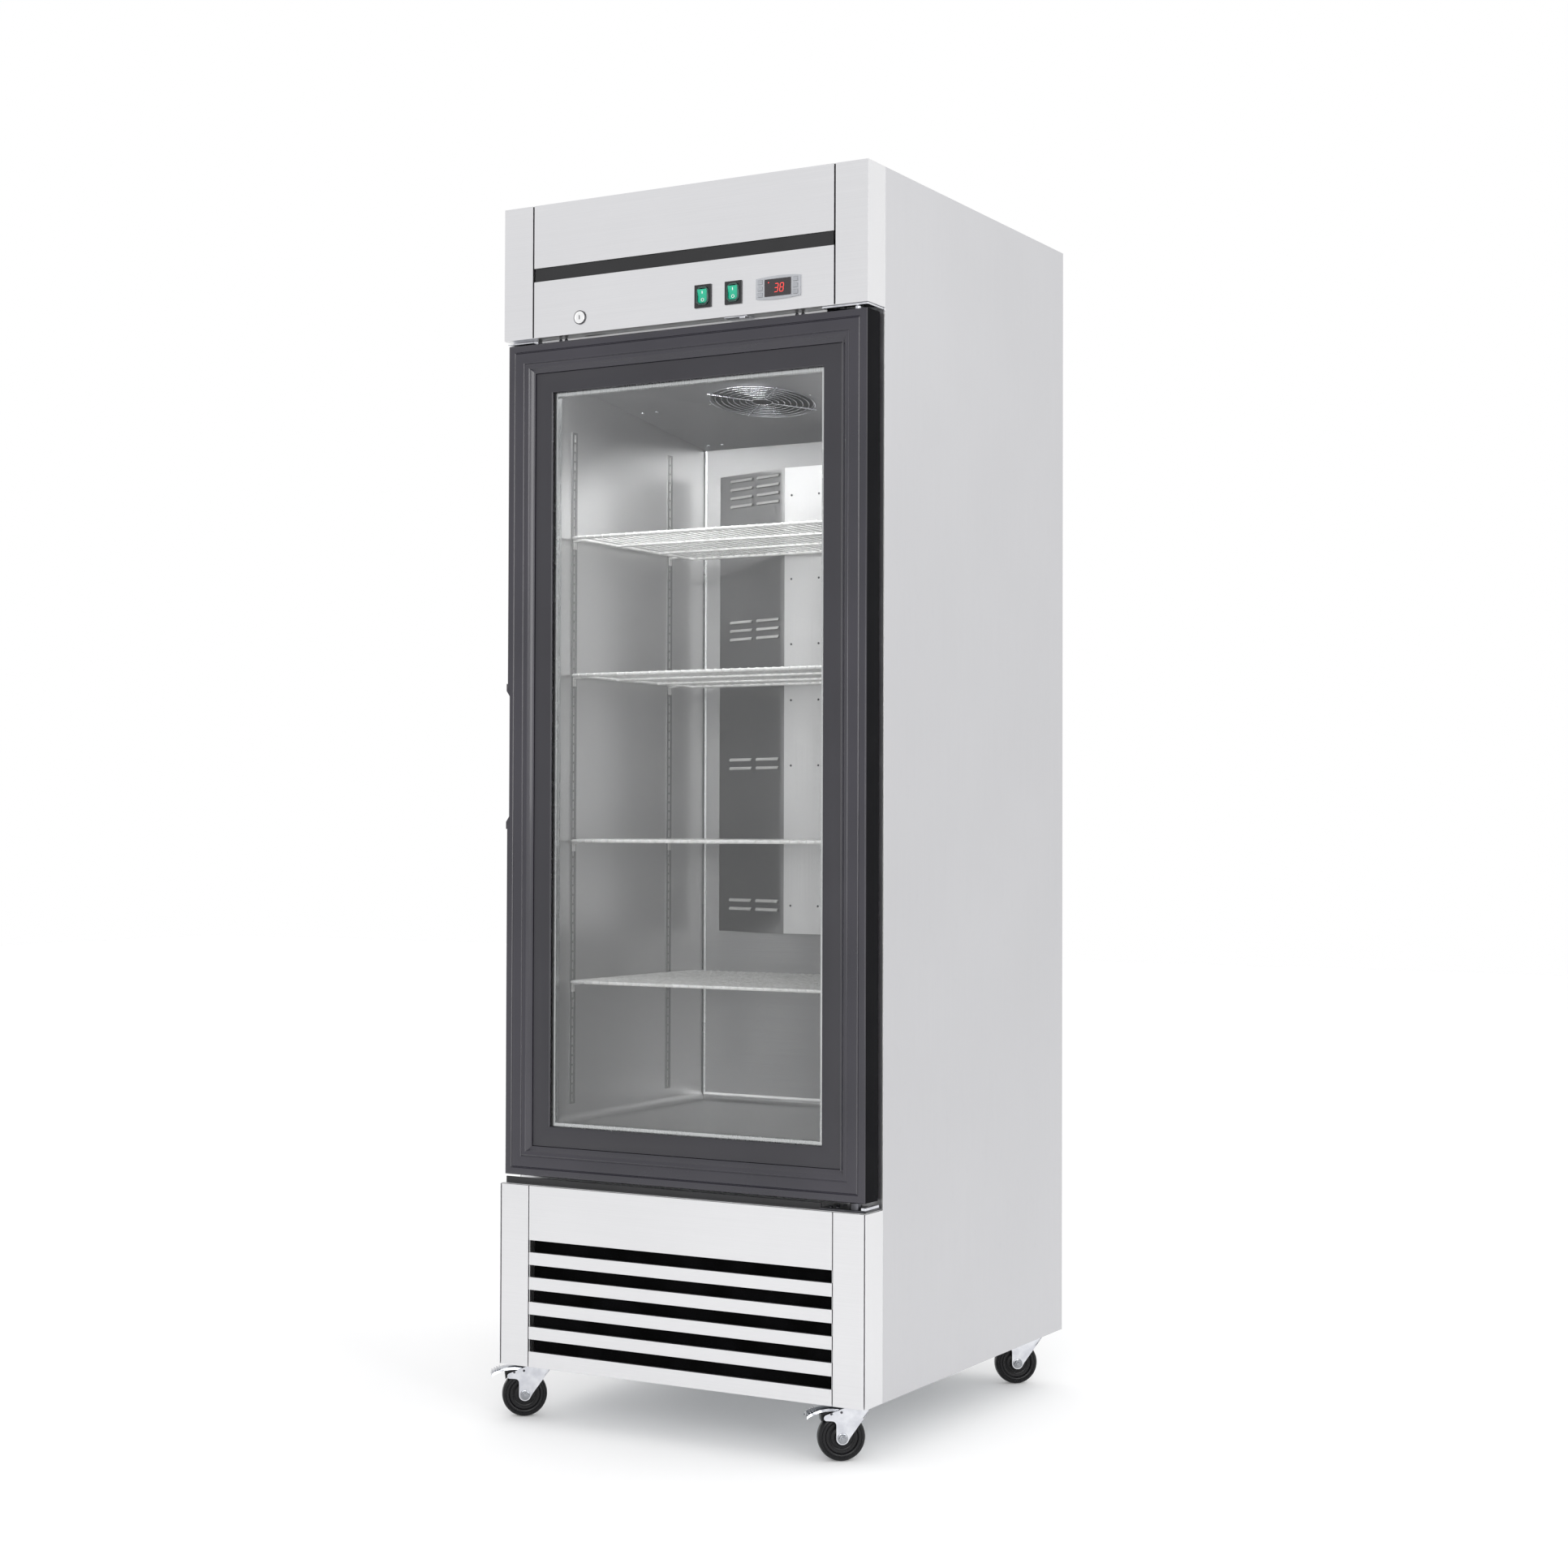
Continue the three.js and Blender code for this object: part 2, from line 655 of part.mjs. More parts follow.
// The condensing unit: finned core with its fan shroud, fan, compressor and drain pan.
function makeCondensingUnit() {
  const [low, high] = [coreLift, baseHeight - coreClearance];
  const [left, right] = [condenserX - coreWidth / 2, condenserX + coreWidth / 2];
  const coreFront = frontDepth + 19;
  const coreBack = coreFront + coreDepth;
  const middle = (low + high) / 2;
  const radius = (high - low) / 2 - shroudMargin;
  let core = block(left, right, coreFront, coreBack, low, high);
  for (let fin = left + 12; fin < right - 10; fin += 16) {
    const groove = block(fin, fin + 8, coreFront - 1, coreFront + 30, low + 12, high - 12);
    core = core.subtract(groove);
  }
  const shroudBack = coreBack + shroudDepth;
  const shroud = block(left, right, coreBack - 1, shroudBack, low, high);
  const bore = rodY(radius + 4, condenserX, coreBack + 2, shroudBack + 2, middle, 32);
  const motor = rodY(24, condenserX, coreBack + 1, coreBack + 10, middle, 20);
  core = core.add(shroud.subtract(bore)).add(motor);
  piece("condenser", core, aluminium);

  const blades = fanBlades(radius, 22, 34, 5, 24);
  piece("condenser_fan", blades.translate([condenserX, coreBack + 25, middle]), blackPlastic);

  const shell = turned(
    [
      [0, 20],
      [78, 20],
      [88, 34],
      [88, 130],
      [80, 168],
      [52, 192],
      [0, 198],
    ],
    28,
  );
  const [x, y] = [condenserX, compressorY];
  const dome = solid(shell.rotateX(Math.PI / 2)).translate([x, y, 0]);
  const feet = block(x - 105, x + 105, y - 80, y + 80, 2 + gap, 22);
  const tunnel = block(x - 80, x + 80, y - 81, y + 81, 1, 18);
  const terminal = block(x + 70, x + 112, y - 26, y + 26, 80, 140);
  piece("compressor", join(dome, feet.subtract(tunnel), terminal), compressorBlack);

  const panRight = half - panSideGap;
  const panLeft = panRight - panWidth;
  const [panFront, panBack] = [compressorY - 100, compressorY - 100 + panDepth];
  const pan = block(panLeft, panRight, panFront, panBack, 6, 66);
  const [h0, h1] = [panLeft + panWall, panRight - panWall];
  const hollow = block(h0, h1, panFront + panWall, panBack - panWall, 6 + panWall, 67);
  const stand = block(panLeft + 20, panRight - 20, panFront + 20, panBack - 20, 2 + gap, 7);
  piece("drain_pan", join(pan.subtract(hollow), stand), galvanised);
}

// The evaporator hangs above a sloping cover with its fan in it.
function makeCooler() {
  const [x, y, radius] = [coolerFanX, coolerFanY, coolerFanRadius];
  const coverHalf = linerHalf - gap;
  const y0 = headY + gap;
  const y1 = plenumFace - gap;
  const section = outline([
    [y0, coverFrontLevel],
    [y1, coverRearLevel],
    [y1, coverRearLevel + 12],
    [y1 - coverThickness, coverRearLevel + 12],
    [y1 - coverThickness, coverRearLevel + coverThickness],
    [y0 + coverThickness, coverFrontLevel + coverThickness],
    [y0 + coverThickness, openingTop + 12],
    [y0, openingTop + 12],
  ]);
  const slope = (coverRearLevel - coverFrontLevel) / (y1 - y0);
  const seat = coverFrontLevel + slope * (y - y0);
  let cover = plateYZ(section, -coverHalf, coverHalf);
  cover = cover.subtract(rodZ(radius + 3, x, y, seat - 40, seat + 40, 32));
  const arm = radius + 16;
  const bridge = block(x - arm, x + arm, y - 9, y + 9, seat + 62, seat + 65);
  const legLeft = block(x - arm, x - arm + 3, y - 9, y + 9, seat, seat + 63);
  const legRight = block(x + arm - 3, x + arm, y - 9, y + 9, seat, seat + 63);
  const motor = rodZ(22, x, y, seat + 36, seat + 63, 20);
  cover = join(cover, bridge, legLeft, legRight, motor);
  piece("evaporator_cover", cover, linerSteel);

  const blades = solid(geometryOf(fanBlades(radius, 20, 26, 5, 18)).rotateX(Math.PI / 2));
  piece("evaporator_fan", blades.translate([x, y, seat + 20]), blackPlastic);

  const coilHalf = linerHalf - coilSideGap;
  const coilBack = plenumFace - 10;
  const coilFront = coilBack - coilDepth;
  const [low, high] = [openingTop + coilGap, linerRoof - coilGap];
  let coil = span(coilHalf, coilFront, coilBack, low, high);
  for (let fin = 12 - coilHalf; fin < coilHalf - 10; fin += 18) {
    const groove = block(fin, fin + 10, coilFront - 1, coilFront + 60, low + 10, high - 10);
    coil = coil.subtract(groove);
  }
  for (const side of [-1, 1]) {
    const middle = side * (coilHalf - 40);
    const [h0, h1] = [middle - 10, middle + 10];
    coil = coil.add(block(h0, h1, coilFront + 40, coilFront + 60, high - 1, linerRoof - gap));
  }
  piece("evaporator_coil", coil, aluminium);
}

// The rear wall panel hides the air plenum, and the duct on it has rows of vents.
function makeAirPath() {
  const wallHalf = linerHalf - gap;
  const top = coverRearLevel + 40;
  let wall = span(wallHalf, plenumFace, plenumFace + sheet, floorLevel + gap, top);
  const mouth = span(ductFaceHalf, plenumFace - 1, plenumFace + 2, ductBottom + 40, ductTop - 40);
  wall = wall.subtract(mouth);
  const lip = span(wallHalf, plenumFace, plenumFace + flange, top - sheet, top);
  piece("plenum_panel", wall.add(lip), linerSteel);

  const back = plenumFace - gap;
  const face = back - ductDepth;
  const shell = (base, front, rear, grow) =>
    outline([
      [-base, rear],
      [base, rear],
      [ductFaceHalf + grow, front],
      [-ductFaceHalf - grow, front],
    ]);
  const outer = plateXY(shell(ductBaseHalf, face, back, 0), ductBottom, ductTop);
  const inner = shell(ductBaseHalf - 7, face + sheet, back + 0.01, -0.5);
  let duct = outer.subtract(plateXY(inner, ductBottom + sheet, ductTop - sheet));
  const run = ductBaseHalf - ductFaceHalf;
  ventRows.forEach((rows, i) => {
    const middle = shelfLevels[i] + ventRises[i];
    for (let row = 0; row < rows; row++) {
      const z = middle + (row - (rows - 1) / 2) * ventPitch;
      for (const side of [-1, 1]) {
        for (const share of [0.34, 0.75]) {
          const x = side * (ductBaseHalf - share * run);
          const [low, high] = [z - ventHeight / 2, z + ventHeight / 2];
          const [left, right] = [x - ventLength / 2, x + ventLength / 2];
          duct = duct.subtract(block(left, right, face - 1, back - 3, low, high));
        }
      }
    }
  });
  piece("air_duct", duct, linerSteel);
}

// Slotted standards on the side walls, with a clip under each shelf corner.
const shelfFront = headY + 5;
const shelfRear = plenumFace - ductDepth - 2 * clearance;
const shelfHalf = linerHalf - standardThickness - clearance;
function makeStandards() {
  const spots = [
    ["front", shelfFront + frontStandardInset],
    ["rear", shelfRear - rearStandardInset],
  ];
  const [low, high] = [floorLevel + 30, openingTop - 90];
  for (const [where, y] of spots) {
    for (const [sideName, side] of [["left", -1], ["right", 1]]) {
      const wallX = side * (linerHalf - gap);
      const faceX = side * (linerHalf - gap - standardThickness);
      const [x0, x1] = [Math.min(wallX, faceX), Math.max(wallX, faceX)];
      const [y0, y1] = [y - standardWidth / 2, y + standardWidth / 2];
      let strip = block(x0, x1, y0, y1, low, high);
      for (const level of shelfLevels) {
        const tipX = side * (shelfHalf - clipReach);
        const [c0, c1] = [Math.min(wallX, tipX), Math.max(wallX, tipX)];
        const [d0, d1] = [y - clipWidth / 2, y + clipWidth / 2];
        const under = level - shelfThickness - gap;
        strip = strip.add(block(c0, c1, d0, d1, under - clipThickness, under));
      }
      piece(`shelf_standard_${where}_${sideName}`, strip, linerSteel);
    }
  }
}

// A shelf is a row of wires from front to back in a thicker rim.
function makeShelves() {
  const pitch = (2 * shelfHalf - shelfRim) / (shelfWires + 1);
  shelfLevels.forEach((level, i) => {
    let shelf = span(shelfHalf, shelfFront, shelfRear, level - shelfThickness, level);
    for (let slot = 0; slot <= shelfWires; slot++) {
      const x0 = -shelfHalf + shelfRim / 2 + slot * pitch + wireWidth / 2;
      const x1 = x0 + pitch - wireWidth;
      const [y0, y1] = [shelfFront + shelfRim, shelfRear - shelfRim];
      const [low, high] = [level - shelfThickness - 1, level + 1];
      shelf = shelf.subtract(block(x0, x1, y0, y1, low, high));
    }
    piece(`shelf_${i + 1}`, shelf, wireCoat);
  });
}

// The door: a moulded frame, a glazing bead, double glass and a gasket.
const doorHalf = half - doorSideGap;
const paneFront = doorSetback + beadDepth + 4;
const paneRear = paneFront + glassThickness + spacerWidth;
const doorBack = frontDepth - 7;
function makeDoor() {
  const y = (depth) => doorSetback + depth;
  const unitBack = paneRear + glassThickness + gap;
  const profile = [
    [0, y(2)],
    [2, y(0)],
    [12, y(0)],
    [13, y(1)],
    [14, y(0)],
    [30, y(0)],
    [31.5, y(1.4)],
    [33, y(0.4)],
    [mouldingWidth, y(beadDepth - 1)],
    [mouldingWidth, paneFront],
    [frameRebate, paneFront],
    [frameRebate, unitBack],
    [frameInner, unitBack],
    [frameInner, doorBack],
    [0, doorBack],
  ];
  let frame = mitredRing(profile, doorHalf, doorBottom, doorTop);

  // A finger pull is let into the closing edge.
  const notch = [
    [-doorHalf - 1, handleBottom],
    [-doorHalf + handleDepth, handleBottom + 8],
    [-doorHalf + handleDepth, handleTop - 8],
    [-doorHalf - 1, handleTop],
  ];
  frame = frame.subtract(plateXZ(outline(notch), 0, doorBack - 8));

  // Pockets for the hinge pins and for the lock's cam.
  const pinX = doorHalf - hingePinInset;
  const bore = hingePinRadius + 0.5;
  frame = frame.subtract(rodZ(bore, pinX, hingePinSetback, doorTop - 16, doorTop + 1));
  frame = frame.subtract(rodZ(bore, pinX, hingePinSetback, doorBottom - 1, doorBottom + 16));
  const sweep = Math.sqrt(lockTravel ** 2 - (lockLevel - doorTop) ** 2);
  const [k0, k1] = [lockX - camRoom.side, lockX + sweep + 2];
  const low = lockLevel - lockTravel - 2;
  const keeper = block(k0, k1, camRoom.front, camRoom.back, low, doorTop + 1);
  piece("door_frame", frame.subtract(keeper), frameBlack);

  const beadFront = y(beadDepth);
  const beadBack = paneFront - gap;
  const bead = [
    [mouldingWidth + gap, beadFront + 1],
    [mouldingWidth + gap + 1, beadFront],
    [beadInner - 1.5, beadFront],
    [beadInner, beadFront + 1.5],
    [beadInner, beadBack],
    [mouldingWidth + gap, beadBack],
  ];
  piece("glazing_bead", mitredRing(bead, doorHalf, doorBottom, doorTop), frameBlack);

  const inset = frameRebate + gap;
  const paneHalf = doorHalf - inset;
  const [z0, z1] = [doorBottom + inset, doorTop - inset];
  for (const [name, front] of [["glass_outer", paneFront], ["glass_inner", paneRear]]) {
    const pane = span(paneHalf, front + gap / 2, front + glassThickness - gap / 2, z0, z1);
    piece(name, pane, glass);
  }
  const barFront = paneFront + glassThickness;
  const spacer = [
    [inset + 4, barFront],
    [beadInner + 6, barFront],
    [beadInner + 6, paneRear],
    [inset + 4, paneRear],
  ];
  piece("glass_spacer", mitredRing(spacer, doorHalf, doorBottom, doorTop), spacerBar);

  const seal = [
    [gasketInset, doorBack + gap],
    [gasketInset + gasketWidth, doorBack + gap],
    [gasketInset + gasketWidth, frontDepth - 3],
    [gasketInset + gasketWidth - 3, frontDepth - 0.6],
    [gasketInset + 3, frontDepth - 0.6],
    [gasketInset, frontDepth - 3],
  ];
  piece("door_gasket", mitredRing(seal, doorHalf, doorBottom, doorTop), gasketBlack);

  // The pull is a shallow channel whose ends curl out past the door's edge.
  const floorX = -doorHalf + handleDepth - gap;
  const lipX = -doorHalf - handleLip;
  const pull = outline([
    [floorX, handleBottom + 9],
    [floorX, handleTop - 9],
    [-doorHalf - gap, handleTop - 1.6],
    [-doorHalf - gap, handleTop + 4],
    [lipX, handleTop + 4],
    [lipX, handleTop - 8],
    [floorX - 2.5, handleTop - 17],
    [floorX - 2.5, handleBottom + 17],
    [lipX, handleBottom + 8],
    [lipX, handleBottom - 4],
    [-doorHalf - gap, handleBottom - 4],
    [-doorHalf - gap, handleBottom + 1.6],
  ]);
  piece("door_pull", plateXZ(pull, doorSetback + 2, doorBack - 9), frameBlack);
}

// Plates fixed under the header and on the base carry the door's pins.
function makeHinges() {
  const pinX = doorHalf - hingePinInset;
  const plate = { x0: pinX - 58, x1: half - 2, y0: 4, y1: frontDepth - gap, thick: 3 };
  const { x0, x1, y0, y1, thick } = plate;
  const top = headerBottom - gap;
  const upper = block(x0, x1, y0, y1, top - thick, top);
  const upperPin = rodZ(hingePinRadius, pinX, hingePinSetback, doorTop - 14, top - 1);
  piece("hinge_top", join(upper, upperPin), zinc);
  const low = baseHeight + gap;
  const lower = block(x0, x1, y0, y1, low, low + thick);
  const washer = rodZ(hingePinRadius + 4, pinX, hingePinSetback, low + 1, doorBottom - gap);
  const lowerPin = rodZ(hingePinRadius, pinX, hingePinSetback, low + 1, doorBottom + 14);
  piece("hinge_bottom", join(lower, washer, lowerPin), zinc);
}

// A caster: fork on a swivel, wheel on an axle and, at the front, a brake pedal.
// Each is drawn trailing towards -X, with its swivel on the group's axis.
const axleLevel = wheelRadius - casterHeight;
function makeFork(name, parent) {
  const cheek = wheelWidth / 2 + 2.5;
  const forkTop = -padThickness - gap - 1;
  const plate = new THREE.Shape();
  plate.moveTo(18, forkTop - 2);
  plate.lineTo(17, forkTop - 18);
  plate.lineTo(-casterTrail + 9, axleLevel - 5);
  plate.absarc(-casterTrail, axleLevel, 10, -0.5, -Math.PI, true);
  plate.lineTo(-casterTrail - 10, axleLevel + 22);
  plate.quadraticCurveTo(-casterTrail - 10, axleLevel + 27, -casterTrail - 18, axleLevel + 28);
  plate.lineTo(-54, axleLevel + 30);
  plate.absarc(-53, axleLevel + 34, 4, -1.9, -4.5, true);
  plate.lineTo(-22, forkTop - 4);
  plate.lineTo(-20, forkTop - 2);
  const near = plateXZ(plate, -cheek - forkPlate, -cheek, 4);
  const far = plateXZ(plate, cheek, cheek + forkPlate, 4);
  const reach = cheek + forkPlate;
  const crown = block(-20, 18, -reach, reach, forkTop - 4, forkTop - 1.5);
  const race = rodZ(20, 0, 0, forkTop - 3, forkTop, 16);
  const stem = rodZ(stemRadius, 0, 0, forkTop - 1, 3, 12);
  const bolt = rodY(axleRadius, -casterTrail, -reach - 6, reach + 6, axleLevel, 12);
  const nutNear = rodY(7, -casterTrail, -reach - 5, -reach + 0.5, axleLevel, 6);
  const nutFar = rodY(7, -casterTrail, reach - 0.5, reach + 5, axleLevel, 6);
  const made = join(near, far, crown, race, stem, bolt, nutNear, nutFar);
  piece(`caster_fork_${name}`, made, zinc, parent);
}

function makeWheel(name, parent) {
  const rim = wheelWidth / 2;
  const bore = axleRadius + gap;
  const profile = [
    [bore, -rim - 1.5],
    [10, -rim - 1.5],
    [13, -rim + 3.5],
    [26, -rim + 3.5],
    [29, -rim],
    [wheelRadius, -rim + 3],
    [wheelRadius, rim - 3],
    [29, rim],
    [26, rim - 3.5],
    [13, rim - 3.5],
    [10, rim + 1.5],
    [bore, rim + 1.5],
    [bore, -rim - 1.5],
  ];
  const segments = 24;
  const wheel = solid(turned(profile, segments)).translate([-casterTrail, 0, axleLevel]);
  piece(`caster_wheel_${name}`, wheel, treadBlack, parent);
}

function makePedal(name, parent) {
  const side = wheelWidth / 2 + 1.5;
  const shape = new THREE.Shape();
  shape.moveTo(-26, -12.5);
  shape.quadraticCurveTo(-44, -5, -66, -9);
  shape.lineTo(-84, -16);
  shape.lineTo(-85, -20.5);
  shape.lineTo(-80, -21.5);
  shape.quadraticCurveTo(-66, -13, -52, -13.2);
  shape.quadraticCurveTo(-38, -13, -30, -15);
  const tread = plateXZ(shape, -side, side, 5);
  const cheek = outline([
    [-44, -12],
    [-64, -13],
    [-63, -22],
    [-49, -25],
  ]);
  const cheekNear = plateXZ(cheek, -side, -side + 2);
  const cheekFar = plateXZ(cheek, side - 2, side);
  const shoe = block(-65, -50, -side + 1, side - 1, -19.5, -12.8);
  const made = join(tread, cheekNear, cheekFar, shoe);
  const bite = rodY(wheelRadius + 3, -casterTrail, -side - 1, side + 1, axleLevel, 40);
  piece(`brake_pedal_${name}`, made.subtract(bite), zinc, parent);
}

function makeCasters() {
  for (const [name, x, y] of casterSpots) {
    const caster = new THREE.Group();
    caster.position.set(x, y, 0);
    caster.rotation.z = THREE.MathUtils.degToRad(casterTurn);
    cabinet.add(caster);
    makeFork(name, caster);
    makeWheel(name, caster);
    if (name.startsWith("front")) makePedal(name, caster);
  }
}

makeSkins();
makeInlet();
makeInsulation();
makeLiner();
makeFaceFrame();
makeHeaderPosts();
makeHeaderPanels();
makeLock();
makeSwitch("switch_power", switchXs[0]);
makeSwitch("switch_light", switchXs[1]);
makeController();
makeBasePosts();
makeGrille();
makeChassis();
makeCondensingUnit();
makeCooler();
makeAirPath();
makeStandards();
makeShelves();
makeDoor();
makeHinges();
makeCasters();

export default refrigerator;
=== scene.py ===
"""Looks for a one-door reach-in refrigerator: sheet metal with worked edges, a moulded
door with two panes, wire shelves, controls, hinges, louvres and casters.
+Z is up and the door faces -Y. The frame is in metres, and the shapes here are given in
millimetres, which Form turns into metres."""
import json
import math

import bmesh
import bpy
from mathutils import Matrix, Vector


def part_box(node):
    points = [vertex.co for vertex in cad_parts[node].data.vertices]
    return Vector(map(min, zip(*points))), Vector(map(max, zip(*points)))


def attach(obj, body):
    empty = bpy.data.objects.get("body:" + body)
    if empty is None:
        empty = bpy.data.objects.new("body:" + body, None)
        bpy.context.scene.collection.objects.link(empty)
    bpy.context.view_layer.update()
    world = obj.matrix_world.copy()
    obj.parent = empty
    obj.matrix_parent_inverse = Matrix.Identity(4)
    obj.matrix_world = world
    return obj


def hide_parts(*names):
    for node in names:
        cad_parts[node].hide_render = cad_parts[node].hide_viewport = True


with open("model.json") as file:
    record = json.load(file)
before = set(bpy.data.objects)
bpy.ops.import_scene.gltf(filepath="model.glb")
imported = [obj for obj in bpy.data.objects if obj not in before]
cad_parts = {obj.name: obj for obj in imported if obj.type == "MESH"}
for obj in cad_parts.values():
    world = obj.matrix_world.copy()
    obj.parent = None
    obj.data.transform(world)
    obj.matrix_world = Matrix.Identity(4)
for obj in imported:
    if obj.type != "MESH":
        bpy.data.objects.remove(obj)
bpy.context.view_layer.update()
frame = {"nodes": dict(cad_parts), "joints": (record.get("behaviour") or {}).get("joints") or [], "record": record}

mm = 0.001
joints = {joint["name"]: joint for joint in frame["joints"]}


def box_of(node):
    """The low and the high corner of a CAD node, in millimetres."""
    return [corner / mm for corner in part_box(node)]


def pin_of(joint):
    """A point on a joint's axis, in millimetres."""
    return Vector(joints[joint]["pos_m"]) / mm


# ------------------------ shader maths
class Value:
    """What a node gives out, which Python's operators work on."""

    def __init__(self, shader, socket):
        self.shader = shader
        self.socket = socket

    def math(self, operation, *values):
        sockets = dict(enumerate(values))
        return self.shader.node("ShaderNodeMath", {"operation": operation}, sockets)

    def __add__(self, other):
        return self.math("ADD", self, other)

    def __mul__(self, other):
        return self.math("MULTIPLY", self, other)

    __radd__, __rmul__ = __add__, __mul__

    def ramp(self, low, high):
        """0 at low, 1 at high, smooth between."""
        settings = {"interpolation_type": "SMOOTHSTEP"}
        sockets = {"Value": self, "From Min": low, "From Max": high}
        return self.shader.node("ShaderNodeMapRange", settings, sockets)


class Shader:
    """A material, or the world, being written."""

    def __init__(self, name, world=False):
        self.owner = (bpy.data.worlds if world else bpy.data.materials).new(name)
        self.owner.use_nodes = True
        self.tree = self.owner.node_tree
        self.tree.nodes.clear()

    def node(self, kind, settings=None, sockets=None, out=0):
        made = self.tree.nodes.new(kind)
        for key, setting in (settings or {}).items():
            setattr(made, key, setting)
        for key, value in (sockets or {}).items():
            if isinstance(value, Value):
                self.tree.links.new(value.socket, made.inputs[key])
            else:
                made.inputs[key].default_value = value
        return Value(self, made.outputs[out]) if made.outputs else None

    def place(self):
        return self.node("ShaderNodeTexCoord", out="Object")

    def stretched(self, x, y, z):
        """The place on the piece, scaled differently along each axis."""
        sockets = {0: self.place(), 1: (x, y, z)}
        return self.node("ShaderNodeVectorMath", {"operation": "MULTIPLY"}, sockets)

    def noise(self, scale, detail=3.0, roughness=0.5, vector=None):
        vector = vector or self.place()
        sockets = {"Vector": vector, "Scale": scale, "Detail": detail, "Roughness": roughness}
        return self.node("ShaderNodeTexNoise", None, sockets)

    def mix(self, factor, first, second):
        """A colour between two; the node has sockets of one name for each kind of data."""
        sockets = {0: factor, 6: colour(first), 7: colour(second)}
        return self.node("ShaderNodeMix", {"data_type": "RGBA"}, sockets, 2)

    def bump(self, height, strength, distance):
        sockets = {"Height": height, "Strength": strength, "Distance": distance}
        return self.node("ShaderNodeBump", None, sockets)

    def surface(self, shade, roughness, **others):
        """A surface; others are named after its sockets, with _ for each space."""
        sockets = {"Base Color": shade, "Roughness": roughness}
        sockets.update({name.replace("_", " "): value for name, value in others.items()})
        return self.node("ShaderNodeBsdfPrincipled", None, sockets)

    def done(self, surface, kind="ShaderNodeOutputMaterial"):
        self.node(kind, None, {"Surface": surface})
        return self.owner

    def finish(self, *values, **others):
        return self.done(self.surface(*values, **others))


def colour(value):
    """A colour with its alpha, from a colour or from one number for a grey."""
    if isinstance(value, float):
        value = (value, value, value)
    return (*value, 1.0)


def brushed(name, light, dark, rough, along, spread=0.08, bump=0.06):
    """Sheet steel brushed along one axis: fine lines, cloudy sheen, faint handling marks."""
    shader = Shader(name)
    fine, long = 900, 5
    scales = [long if axis == along else fine for axis in "xyz"]
    lines = shader.noise(1.0, 2.0, 0.6, shader.stretched(*scales))
    cloud = shader.noise(3.2)
    marks = shader.noise(46.0, 4.0, 0.65).ramp(0.52, 0.78)
    tone = lines * 0.5 + cloud * 0.5
    return shader.finish(
        shader.mix(tone.ramp(0.3, 0.7), dark, light),
        rough - spread / 2 + spread * lines + 0.05 * cloud + 0.04 * marks,
        Metallic=1.0, Normal=shader.bump(lines, bump, 0.0002),
    )


def galvanised_sheet():
    """Zinc spangle: flat crystals that differ in tone and gloss."""
    shader = Shader("galvanised_sheet")
    sockets = {"Vector": shader.place(), "Scale": 95.0}
    cells = shader.node("ShaderNodeTexVoronoi", None, sockets, "Color")
    crystal = shader.node("ShaderNodeSeparateColor", None, {0: cells})
    cloud = shader.noise(7.0)
    tone = crystal * 0.7 + cloud * 0.3
    return shader.finish(
        shader.mix(tone, (0.42, 0.44, 0.46), (0.62, 0.64, 0.66)), 0.34 + 0.2 * crystal,
        Metallic=1.0, Normal=shader.bump(crystal, 0.08, 0.0003),
    )


def plated(name, light, dark, rough):
    """Bright plated steel with soft waves from pressing."""
    shader = Shader(name)
    wave = shader.noise(60.0, 2.0)
    grit = shader.noise(900.0, 2.0)
    return shader.finish(
        shader.mix(wave.ramp(0.3, 0.7), dark, light), rough + 0.1 * grit,
        Metallic=1.0, Normal=shader.bump(wave + grit * 0.2, 0.1, 0.0006),
    )


def moulded(name, light, dark, rough, grain=1500.0, bump=0.12, coat=0.0, gloss=0.5):
    """Moulded plastic or rubber: a fine leather-like skin with faint flow marks."""
    shader = Shader(name)
    skin = shader.noise(grain, 2.0, 0.6)
    flow = shader.noise(14.0)
    return shader.finish(
        shader.mix(flow.ramp(0.3, 0.75), dark, light), rough - 0.05 + 0.08 * skin + 0.06 * flow,
        Specular_IOR_Level=gloss, Coat_Weight=coat, Coat_Roughness=0.12,
        Normal=shader.bump(skin, bump, 0.0002),
    )


def door_paint(name, light, dark, rough):
    """Extruded vinyl of the door: an even satin skin under a thin gloss."""
    shader = Shader(name)
    skin = shader.noise(1100.0, 2.0)
    flow = shader.noise(5.0)
    return shader.finish(
        shader.mix(flow.ramp(0.25, 0.75), dark, light), rough + 0.05 * skin + 0.05 * flow,
        Coat_Weight=0.3, Coat_Roughness=0.06, Normal=shader.bump(skin, 0.04, 0.0002),
    )


def coated_wire():
    """White epoxy on drawn wire, thicker and yellower where it pooled."""
    shader = Shader("coated_wire")
    pool = shader.noise(70.0)
    fine = shader.noise(700.0, 2.0)
    return shader.finish(
        shader.mix(pool.ramp(0.3, 0.8), (0.90, 0.90, 0.89), (0.72, 0.72, 0.70)), 0.2 + 0.15 * fine,
        Coat_Weight=0.4, Normal=shader.bump(pool, 0.15, 0.0004),
    )


def pane(name, body):
    """Float glass that shows what is behind it and mirrors a little more at a slant."""
    shader = Shader(name)
    smear = shader.noise(5.0).ramp(0.45, 0.8)
    mirror = shader.node("ShaderNodeFresnel", None, {"IOR": 1.5})
    clear = shader.node("ShaderNodeBsdfTransparent", None, {"Color": colour(body)})
    gloss = shader.surface(colour((0.9, 0.91, 0.92)), 0.03 + 0.05 * smear, Metallic=1.0)
    share = mirror * 0.35 + 0.006 * smear
    return shader.done(shader.node("ShaderNodeMixShader", None, {0: share, 1: clear, 2: gloss}))


